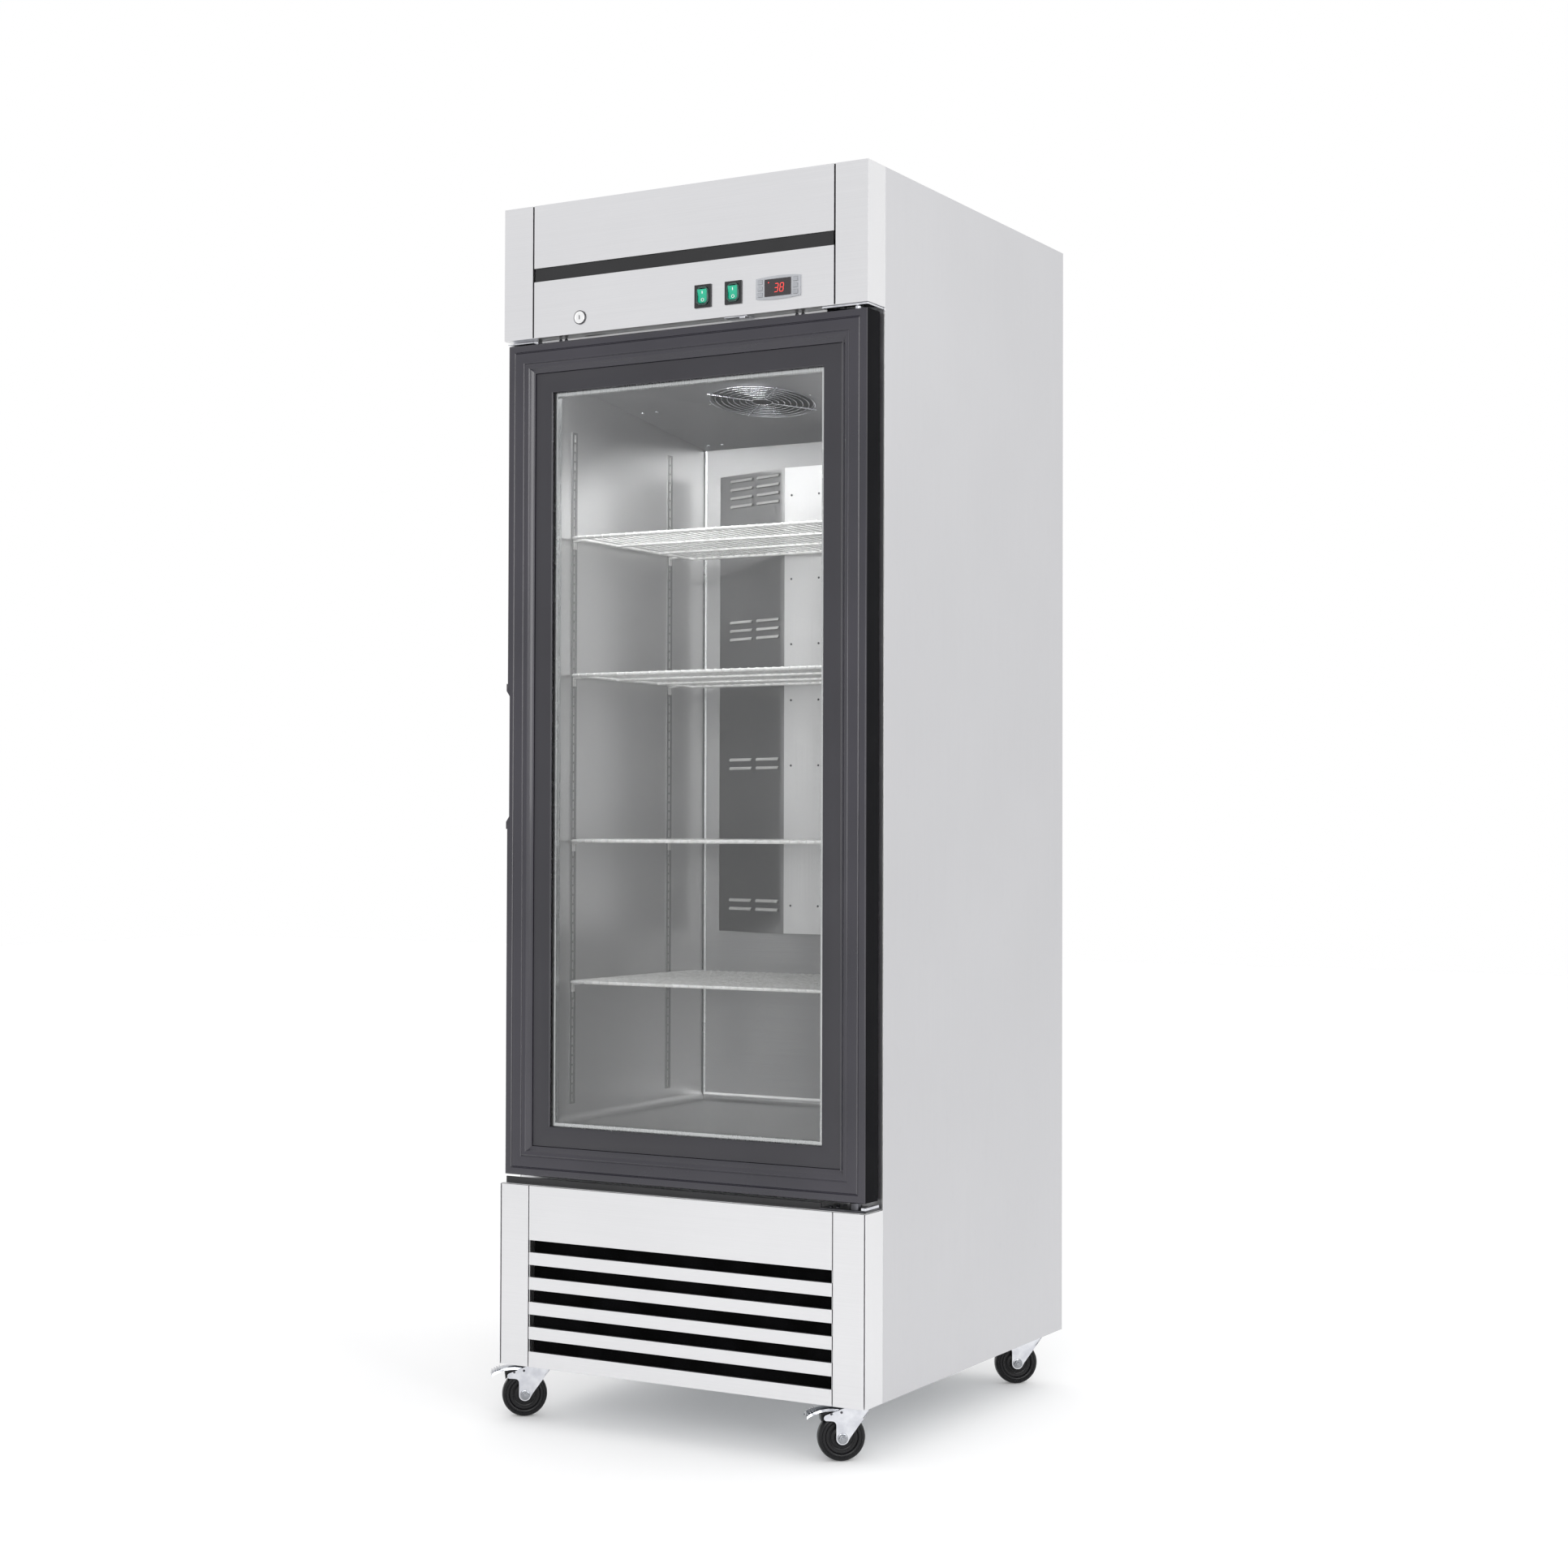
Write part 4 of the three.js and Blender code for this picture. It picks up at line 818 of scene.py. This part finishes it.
# ------------------------ door
def door():
    """The moulded frame, bead, panes, spacer, seal and pull."""
    low, high = box_of("door_frame")
    bead_low, bead_high = box_of("glazing_bead")
    # How far in the bead and the panes start, counted from the door's edge.
    step = bead_low.x - low.x - 0.3
    pane_edge = box_of("glass_outer")[0].x - low.x - 0.3
    made = door_moulding(low, high, step, pane_edge)
    door_cuts(made, low, high)
    finish_edges(made, 0.0, 32)
    painted_shade_edges(made, low, high)

    # A bead with a flat face, a soft outer edge and a lip turned down onto the glass.
    near, face = step + 0.3, bead_low.y
    profile = [
        (near, face + 1.8), (near + 0.4, face + 0.6), (near + 1.6, face), (78.6, face), (79.8, face + 0.3),
        (81.2, face + 1.2), (82, face + 2.6), (82, bead_high.y), (near, bead_high.y),
    ]
    # The bead takes the darker vinyl copy: painted shade.
    round_the_door(profile, low, high).piece(
        "door_bead", BEAD_SHADED, "door_frame_black", "door", ("glazing_bead",), sharp=32
    )
    paint("glass_outer", GLASS_FRONT)
    paint("glass_inner", GLASS_REAR)
    paint("glass_spacer", SPACER)

    seal_low, seal_high = box_of("door_gasket")
    inset, wide = seal_low.x - low.x, 14
    near, far = seal_low.y, seal_high.y
    bellows = [
        (0, near), (wide, near), (wide - 1.5, near + 1.4), (wide, near + 2.8), (wide - 0.6, far - 0.8),
        (wide - 2, far), (2, far), (0.6, far - 0.8), (0, near + 2.8), (1.5, near + 1.4),
    ]
    round_the_door(shifted(bellows, inset, 0), low, high).piece(
        "door_seal", GASKET, "gasket_black", "door", ("door_gasket",), sharp=60
    )
    worked("door_pull", DOOR, "door_frame_black", 0.8)


def round_the_door(profile, low, high):
    return Form().mitred(profile, (high.x - low.x) / 2, low.z, high.z, (high.x + low.x) / 2)


def door_moulding(low, high, step, pane_edge):
    """The frame: a groove, a raised bead line and a slope down to the glazing bead."""
    front, back = low.y, high.y
    pane_front = box_of("glass_outer")[0].y - 0.15
    glass_back = box_of("glass_inner")[1].y + 0.3
    recess, slope_start, ledge = 9, 34.6, 14
    profile = [(0, 2.4), (0.35, 1.2), (1.2, 0.35), (2.6, 0)]
    # A rounded groove 3.2 wide and 1.5 deep.
    profile += shifted([(-1.6, 0), (-0.8, 1.125), (0, 1.5), (0.8, 1.125), (1.6, 0)], 13, 0)
    profile += [(29.6, 0), (30.6, 0.5), (31.4, 1.6), (32.2, 1.7), (33.2, 0.9), (slope_start, 0.5)]
    for share in (0.25, 0.5, 0.75):
        fall = 0.5 - 0.5 * math.cos(share * math.pi)
        profile.append((slope_start + share * (step - slope_start - 2), 0.5 + fall * 7.6))
    profile += [(step - 2.0, recess - 0.6), (step, recess + 0.4)]
    profile = shifted(profile, 0, front) + [
        (step, pane_front), (pane_edge, pane_front), (pane_edge, glass_back),
        (pane_edge + ledge, glass_back), (pane_edge + ledge, back - 1), (pane_edge + ledge - 1, back),
        (1, back), (0, back - 1),
    ]
    return round_the_door(profile, low, high).piece(
        "door_moulding", DOOR, "door_frame_black", "door", ("door_frame",), sharp=32
    )


def door_cuts(made, low, high):
    """The notch behind the pull, the bores for the hinge pins and the pocket for the lock's cam."""
    pull_low, pull_high = box_of("door_pull")
    outside, inside = low.x - 2, pull_high.x + 0.3
    notch = [(outside, pull_low.z + 2.4), (inside, pull_low.z + 12),
             (inside, pull_high.z - 12), (outside, pull_high.z - 2.4)]
    carve(made, Form().prism(notch, "y", low.y - 2, high.y - 8))
    pin = pin_of("door_swing")
    for level in (high.z - 16, low.z - 1):
        carve(made, Form().disc([(5.8, 0), (5.8, 17)], (pin.x, pin.y, level), "z", 28))
    pin, cam_back = pin_of("lock_turn"), box_of("lock_barrel")[1].y
    carve(made, Form().box(
        (pin.x - 9, cam_back - 6, pin.z - 43), (pin.x + 26, cam_back + 4, high.z + 2)
    ))


def painted_shade_edges(made, low, high):
    """The door's outer side faces, from a little behind its front, get a near-black matt copy of the vinyl:
    painted shade.
    """
    made.data.materials.append(DOOR_EDGE_SHADE)
    for face in made.data.polygons:
        centre = face.center / mm
        inside = low.x + 1.5 <= centre.x <= high.x - 1.5 and low.z + 1.5 < centre.z < high.z - 1.5
        if not inside and centre.y > low.y + 3:
            face.material_index = 1


# ------------------------ inside
def inside_walls():
    """Coved corners, and the sloping ceiling cover with its fan guard and screws."""
    # The back wall takes the darker liner copy: painted shade.
    worked("plenum_panel", LINER_BACK_SHADE, "liner_steel", 0.3)
    # The ceiling cover takes the darker liner copy: painted shade.
    worked("evaporator_cover", CEILING_SHADE, "liner_steel", 0.3)
    low, high = box_of("liner")
    skin = 1
    left, right, floor = low.x + skin, high.x - skin, low.z + skin
    rear = box_of("plenum_panel")[0].y
    cover_low, cover_high = box_of("evaporator_cover")

    # Each cove is a quarter round, hollow side in, that runs along one edge of the floor.
    radius = 13
    curve = [(0, 0)] + arc((radius, radius), radius, 270, 180, 8)
    coves = Form()
    coves.prism(shifted(curve, left, floor), "y", low.y + 2, rear)
    coves.prism([(right - x, floor + z) for x, z in curve], "y", low.y + 2, rear)
    coves.prism([(rear - x, floor + z) for x, z in curve], "x", left, right)
    coves.piece("liner_floor_coves", STEEL_LINER, "liner_steel", sharp=60)

    small = 5
    curve = [(0, 0)] + arc((small, -small), small, 180, 90, 6)
    folds = Form()
    for side, edge in ((1, left), (-1, right)):
        folds.prism([(edge + side * x, rear + y) for x, y in curve], "z", floor, cover_low.z + 4)
    folds.piece("liner_corner_folds", SPACER, "liner_steel", sharp=60)

    fan = pin_of("evaporator_fan_spin")
    drop, clearance = 58, 2
    slope = drop / (cover_high.y - cover_low.y)

    def on_cover(x, y):
        """A point just under the sloping cover."""
        return (x, y, cover_low.z + drop - slope * (y - cover_low.y) - clearance)

    guard = Form()
    for ring in range(8):
        path = [on_cover(x, y) for x, y in circle((fan.x, fan.y), 18 + ring * 10.4, 48)]
        guard.tube(path, 1.0, 8, closed=True)
    for spoke in range(4):
        angle = math.radians(45 + 90 * spoke)
        ends = [on_cover(fan.x + r * math.cos(angle), fan.y + r * math.sin(angle)) for r in (17, 96)]
        guard.tube(ends, 1.4, 8)
    guard.piece("evaporator_fan_guard", ZINC, "zinc", sharp=60)
    heads = [
        on_cover(x, y)
        for x in (left + 30, left + 60, right - 30) for y in (cover_low.y + 40, fan.y, cover_high.y - 40)
    ]
    screws("ceiling_screws", ZINC, heads, "z", -1, 3.2)


def standards():
    """A slotted strip and a hooked clip at each shelf, in each corner."""
    thick, wide, slot, bridge, pitch, reach = 1.2, 16, 5, 3.4, 16, 16
    hook = [(0, -15), (1.8, -15), (1.8, -3.2), (reach, -2.2), (reach + 1.6, 0), (reach - 0.6, 0), (0, 0)]
    under_shelves = [box_of(f"shelf_{number}")[1].z - 5.3 for number in range(1, 5)]
    for where in ("front", "rear"):
        for side, way in (("left", 1), ("right", -1)):
            node = f"shelf_standard_{where}_{side}"
            low, high = box_of(node)
            middle = (low.y + high.y) / 2
            wall = low.x if way > 0 else high.x
            face = wall + way * thick
            near, far = sorted((wall, face))
            strip = Form()
            for edge in (-wide / 2, slot / 2):
                strip.box((near, middle + edge, low.z), (far, middle + edge + (wide - slot) / 2, high.z))
            count = int((high.z - low.z) / pitch)
            for step in range(count + 1):
                level = low.z + step * (high.z - low.z - bridge) / count
                strip.box((near, middle - slot / 2, level), (far, middle + slot / 2, level + bridge))
            strip.piece(f"{node}_strip", LINER_BACK_SHADE, "liner_steel", stands_for=(node,))
            clips = Form()
            for under in under_shelves:
                outline = [(face + way * out, under + rise) for out, rise in hook]
                clips.prism(outline, "y", middle - 4.5, middle + 4.5)
            clips.piece(f"{node}_clips", WIRE, "shelf_coating", bevel=0.5)


def shelf(number):
    """A thick wire rim, fine wires from front to back and rods across them."""
    node = f"shelf_{number}"
    low, high = box_of(node)
    thick, fine, inset, count = 2.9, 1.55, 9, 36
    left, right, level = low.x + thick, high.x - thick, high.z - thick
    form = Form()
    rim = []
    for x, y, sx, sy, start in (
        (left, low.y + thick, 1, 1, 180), (right, low.y + thick, -1, 1, 270),
        (right, high.y - thick, -1, -1, 0), (left, high.y - thick, 1, -1, 90),
    ):
        corner = arc((x + sx * inset, y + sy * inset), inset, start, start + 90, 5)
        rim += [(*point, level) for point in corner]
    form.tube(rim, thick, 12, closed=True)
    top = high.z - fine + 0.9
    # Each wire bends down over the rim at both ends.
    bends = [
        (low.y - 0.4, top - 2.4), (low.y + 0.6, top - 0.6), (low.y + 2.4, top), ((low.y + high.y) / 2, top),
        (high.y - 2.4, top), (high.y - 0.6, top - 0.6), (high.y + 0.2, top - 2.4),
    ]
    for step in range(1, count):
        x = left + step * (right - left) / count
        form.tube([(x, y, z) for y, z in bends], fine, 7)
    for share in (0.36, 0.7):
        y = low.y + share * (high.y - low.y)
        form.tube([(left, y, level - 0.6), (right, y, level - 0.6)], 2.3, 9)
    form.piece(f"{node}_wires", WIRE, "shelf_coating", node, (node,), sharp=60)


def duct():
    """The angled air duct, with painted shade on its slanted faces, a rolled lip under each vent and its screws.
    """
    made = worked("air_duct", DUCT_FRONT, "liner_steel", 0.3)
    made.data.materials.append(DUCT_SLANT_SHADE)
    # Faces that slant take the darker copy: painted shade by face direction.
    for face in made.data.polygons:
        in_painted_shade = 0.3 < abs(face.normal.x) < 0.98
        if in_painted_shade:
            face.material_index = 1
    low, high = box_of("air_duct")
    middle, half_base = (low.x + high.x) / 2, (high.x - low.x) / 2
    half_face, length, pitch = 92, 56, 15.5
    run, deep = half_base - half_face, high.y - low.y
    roll = [(0.5, 3.4), (-2.2, 2.2), (-3.6, 0.2), (-4.0, -2.0),
            (-3.2, -2.0), (-2.8, 0.0), (-1.6, 1.4), (0.5, 2.4)]
    lips = Form()
    for number, rows, rise in ((1, 4, 117), (2, 3, 99), (3, 2, 136), (4, 2, 119)):
        level = box_of(f"shelf_{number}")[1].z + rise
        for row in range(rows):
            z = level + (row - (rows - 1) / 2) * pitch
            for side in (-1, 1):
                for share in (0.34, 0.75):
                    # The face slants from the wall at the base to the flat front of the duct.
                    rings = []
                    for reach in (-length / 2, length / 2):
                        x = half_base - share * run - reach
                        y = high.y - deep * (half_base - x) / run
                        rings.append([(middle + side * x, y + a, z + b) for a, b in roll])
                    lips.skin(rings)
    # The lips wear the pale finish: painted highlight.
    lips.piece("duct_vent_lips", LIP_HIGHLIGHT, "liner_steel", sharp=60)
    heads = [
        (middle + across, low.y, low.z + share * (high.z - low.z))
        for share in (0.06, 0.2, 0.36, 0.5, 0.62, 0.76, 0.94) for across in (-78, -22, 22, 78)
    ]
    screws("duct_screws", DARK_STEEL, heads, "y", -1, 2.0)


# ------------------------ machine compartment
def machinery():
    """Condenser, fans, compressor with its pipes, and the drain pan."""
    worked("condenser", FINS, "fin_aluminium", 0.3)
    worked("evaporator_coil", FINS, "fin_aluminium", 0.3)
    for node in ("condenser_fan", "evaporator_fan"):
        worked(node, BLACK, "black_plastic", 0.3)
    worked("drain_pan", GALVANISED, "galvanised", 0.4)

    low, high = box_of("compressor")
    x, y, base = low.x + 105, (low.y + high.y) / 2, low.z + 18
    shell = Form()
    profile = [(78, 0), (86, 3), (89, 12), (89, 46), (92.5, 47), (92.5, 51), (89, 52), (89, 108), (86, 130),
               (78, 152), (62, 168), (38, 176), (12, 178.5)]
    shell.disc([(r * 0.95, h) for r, h in profile], (x, y, base), "z", 64)
    shell.block((x, y, base), (-105, -80, -2), (105, 80, 2))
    foot = [(11, 0), (12, 5), (9, 9), (12, 13), (10, 17)]
    for sx in (-1, 1):
        for sy in (-1, 1):
            shell.disc(foot, (x + sx * 90, y + sy * 66, low.z), "z")
    shell.prism(rounded(y, base + 92, 25, 29, 6), "x", x + 70, x + 111)
    shell.piece("compressor_shell", ENAMEL, "compressor_black", stands_for=("compressor",))

    pipes = Form()
    core_low, core_high = box_of("condenser")
    bend = [(-2, 14)] + [(a, 25 + b) for a, b in arc((0, 0), 11, -90, 90, 8)] + [(-2, 36)]
    for row in range(9):
        level = core_low.z + 26 + row * 25
        for edge, way in ((core_high.x, 1), (core_low.x, -1)):
            pipes.tube([(edge + way * a, core_low.y + b, level) for a, b in bend], 4)
    discharge = [(-60, -52, 80), (-84, -76, 84), (-92, -92, 110), (-92, -96, 170), (-100, -100, 205),
                 (-130, -96, 222), (-170, -60, 232), (-178, 60, 240), (-178, 160, 262)]
    suction = [(10, 70, 120), (14, 104, 128), (6, 120, 170), (-20, 124, 225), (-60, 126, 262)]
    for path, radius in ((discharge, 4.8), (suction, 6.4)):
        pipes.tube([(x + a, y + b, base + c) for a, b, c in path], radius, 12)
    pipes.piece("refrigerant_pipes", COPPER, "zinc", sharp=60)


# ------------------------ casters
def caster_turn(name):
    """The caster's own axes: origin on the floor under the swivel, the wheel towards -X."""
    swivel, wheel = pin_of(f"caster_{name}_swivel"), pin_of(f"wheel_{name}_roll")
    trail = Vector((swivel.x - wheel.x, swivel.y - wheel.y, 0))
    along = trail.normalized()
    across = Vector((-along.y, along.x, 0))
    turn = Matrix((along, across, Vector((0, 0, 1)))).transposed().to_4x4()
    turn.translation = (swivel.x * mm, swivel.y * mm, 0)
    return turn, -trail.length, wheel.z


def caster(name):
    """The wheel, the fork with its race and rivets, the axle, and the brake where there is one."""
    turn, trail, axle = caster_turn(name)
    radius = axle
    side = [
        (4.4, 13.4), (9.6, 13.4), (10.6, 12.8), (11.4, 9.6), (12.6, 8.6), (17.0, 8.4), (17.8, 9.2),
        (19.4, 9.4), (20.2, 8.4), (24.6, 8.6), (25.6, 10.6), (27.0, 11.6), (28.6, 11.9), (30.2, 11.5),
        (31.0, 10.7), (31.9, 11.3), (34.0, 10.9), (35.8, 9.4), (36.9, 7.0),
    ]
    shape = [(r, -h) for r, h in side]
    shape += [(radius - 0.1, -3.6), (radius, 0), (radius - 0.1, 3.6)] + side[::-1]
    Form(turn).turned(shape, (trail, 0, axle), "y", 72).piece(
        f"wheel_{name}_rubber", TYRE, "wheel_black", f"wheel_{name}", (f"caster_wheel_{name}",), sharp=38
    )

    body, node = f"caster_{name}", f"caster_fork_{name}"
    half, plate = 12, 2.4
    cheek = half + 2.6
    outside = cheek + plate
    bearing, flange = 4.3, 3
    top = box_of(node)[1].z - flange - bearing
    sweep = [(19, 0), (17.5, 3), (13.5, 9), (9.2, 15), (5.2, 20),
             (-0.6, 28), (-6.4, 36), (-11.6, 43), (-16, 49)]
    outline = [(x, top - drop) for x, drop in sweep] + [(trail + 9.4, axle - 3.4)]
    outline += arc((trail, axle), 10, -20, -180, 12) + [(trail - 10, axle + 19)]
    outline += arc((trail - 17, axle + 20), 7, 0, 90, 5) + [(-52, axle + 27.5)]
    outline += arc((-53, axle + 32), 4.6, 262, 100, 6) + [(-24, top - 3), (-20, top)]
    fork = Form(turn)
    fork.prism(outline, "y", -outside, -cheek)
    fork.prism(outline, "y", cheek, outside)
    fork.box((-20, -outside, top - 2.4), (19, outside, top))
    # A creased web closes the trailing side of the fork.
    crease = [(19.2, -outside), (20.6, 0), (19.2, outside), (16.8, outside), (18.2, 0), (16.8, -outside)]
    levels = ((0, 0), (5.6, 9), (14, 20))
    fork.skin([[(x - back, y, top - drop) for x, y in crease] for back, drop in levels])
    fork.piece(f"{body}_yoke", ZINC, "zinc", body, (node,), 0.7, 32)

    races = [(19.5, -0.2), (20.5, 0.4), (20.5, 2.2), (19.2, 2.9),
             (18.6, 3.3), (18.6, 3.9), (17, 4.2), (6, 4.2)]
    head = Form(turn).disc(races, (0, 0, top), "z", 48).disc([(6, 0), (6, 7.2)], (0, 0, top), "z")
    head.piece(f"{body}_race", ZINC, "zinc", body, sharp=38)

    bolt = Form(turn)
    washer = [(8.4, 0), (8.4, 0.9), (7.9, 1.2), (4.4, 1.2)]
    nut = [(6.0, 1.0), (6.9, 1.5), (6.9, 4.4), (6.0, 5.1)]
    tip = [(3.7, 4.6), (3.7, 6.0), (3.0, 6.7)]
    for way in (-1, 1):
        for profile, sides in ((washer, 32), (nut, 6), (tip, 24)):
            bolt.disc([(r, way * h) for r, h in profile], (trail, way * outside, axle), "y", sides)
    bolt.disc([(3.9, 0), (3.9, 2 * outside)], (trail, -outside, axle), "y")
    bolt.piece(f"{body}_axle_bolt", AXLE, "zinc", body, bevel=0.25, sharp=40)

    rivets = Form(turn)
    for way in (-1, 1):
        profile = [(2.0, 0), (2.0, way * 0.5), (1.4, way * 0.9)]
        for x, drop in ((-30, 10), (-46, 12)):
            rivets.disc(profile, (x, way * outside, top - drop), "y", 16)
    rivets.piece(f"{body}_rivets", DARK_STEEL, "zinc", body, sharp=50)

    if f"brake_{name}_press" in joints:
        brake(name, turn, trail, axle)


def brake(name, turn, trail, axle):
    """An arched pedal with turned-down sides and ribs at its tip, over a rubber shoe."""
    body, node = f"brake_{name}", f"brake_pedal_{name}"
    base, half, flare = 92, 13.5, 2.2
    spine = [(-26, -11), (-34, -8.6), (-44, -7.4), (-54, -7.6),
             (-64, -9.2), (-73, -12), (-80, -15), (-84, -18.4)]
    # The section is an arch, thick at its turned-down edges.
    right_half = [(0.3, 0.5), (0.7, -0.2), (0.94, -1.6), (1, -5.6),
                  (0.9, -5.6), (0.84, -2.4), (0.6, -1.6), (0.25, -1.1)]
    upper = [(-y, z) for y, z in right_half[3::-1]] + right_half[:4]
    lower = right_half[4:] + [(-y, z) for y, z in right_half[:3:-1]]
    rings = []
    for i, (x, z) in enumerate(spine):
        wide = half + (flare if i >= 5 else 0)
        rings.append([(x, y * wide, base + z + dz) for y, dz in upper + lower])
    pedal = Form(turn).skin(rings)
    for x, z in ((-70, -10.2), (-74, -11.8), (-78, -13.6), (-82, -16.0)):
        rib = [(-0.95, -0.4), (-0.4, 0.4), (0.4, 0.4), (0.95, -0.4)]
        pedal.tube([(x, half * y, base + z + dz) for y, dz in rib], 1.1, 8)
    # The tread takes the darker zinc copy: painted reflection.
    pedal.piece(f"{node}_tread", PEDAL_REFLECTION_SHADE, "zinc", body, (node,), sharp=50)
    # The shoe's underside is hollowed to the wheel's own curve.
    crown, clearance = base - 12.6, 3.2
    outline = arc((trail, axle), axle + clearance, 118, 142, 6) + [(-62, crown), (-46, crown)]
    shoe = Form(turn).prism(outline, "y", -11, 11)
    shoe.piece(f"{node}_shoe", TYRE, "wheel_black", body, bevel=0.8)


studio()
sheet_metal()
back_of_cabinet()
top_of_cabinet()
under_header_fittings()
hinges()
lock()
for use in ("power", "light"):
    switch(use)
controller()
door()
inside_walls()
standards()
for number in range(1, 5):
    shelf(number)
duct()
machinery()
for name in ("front_left", "front_right", "rear_left", "rear_right"):
    caster(name)
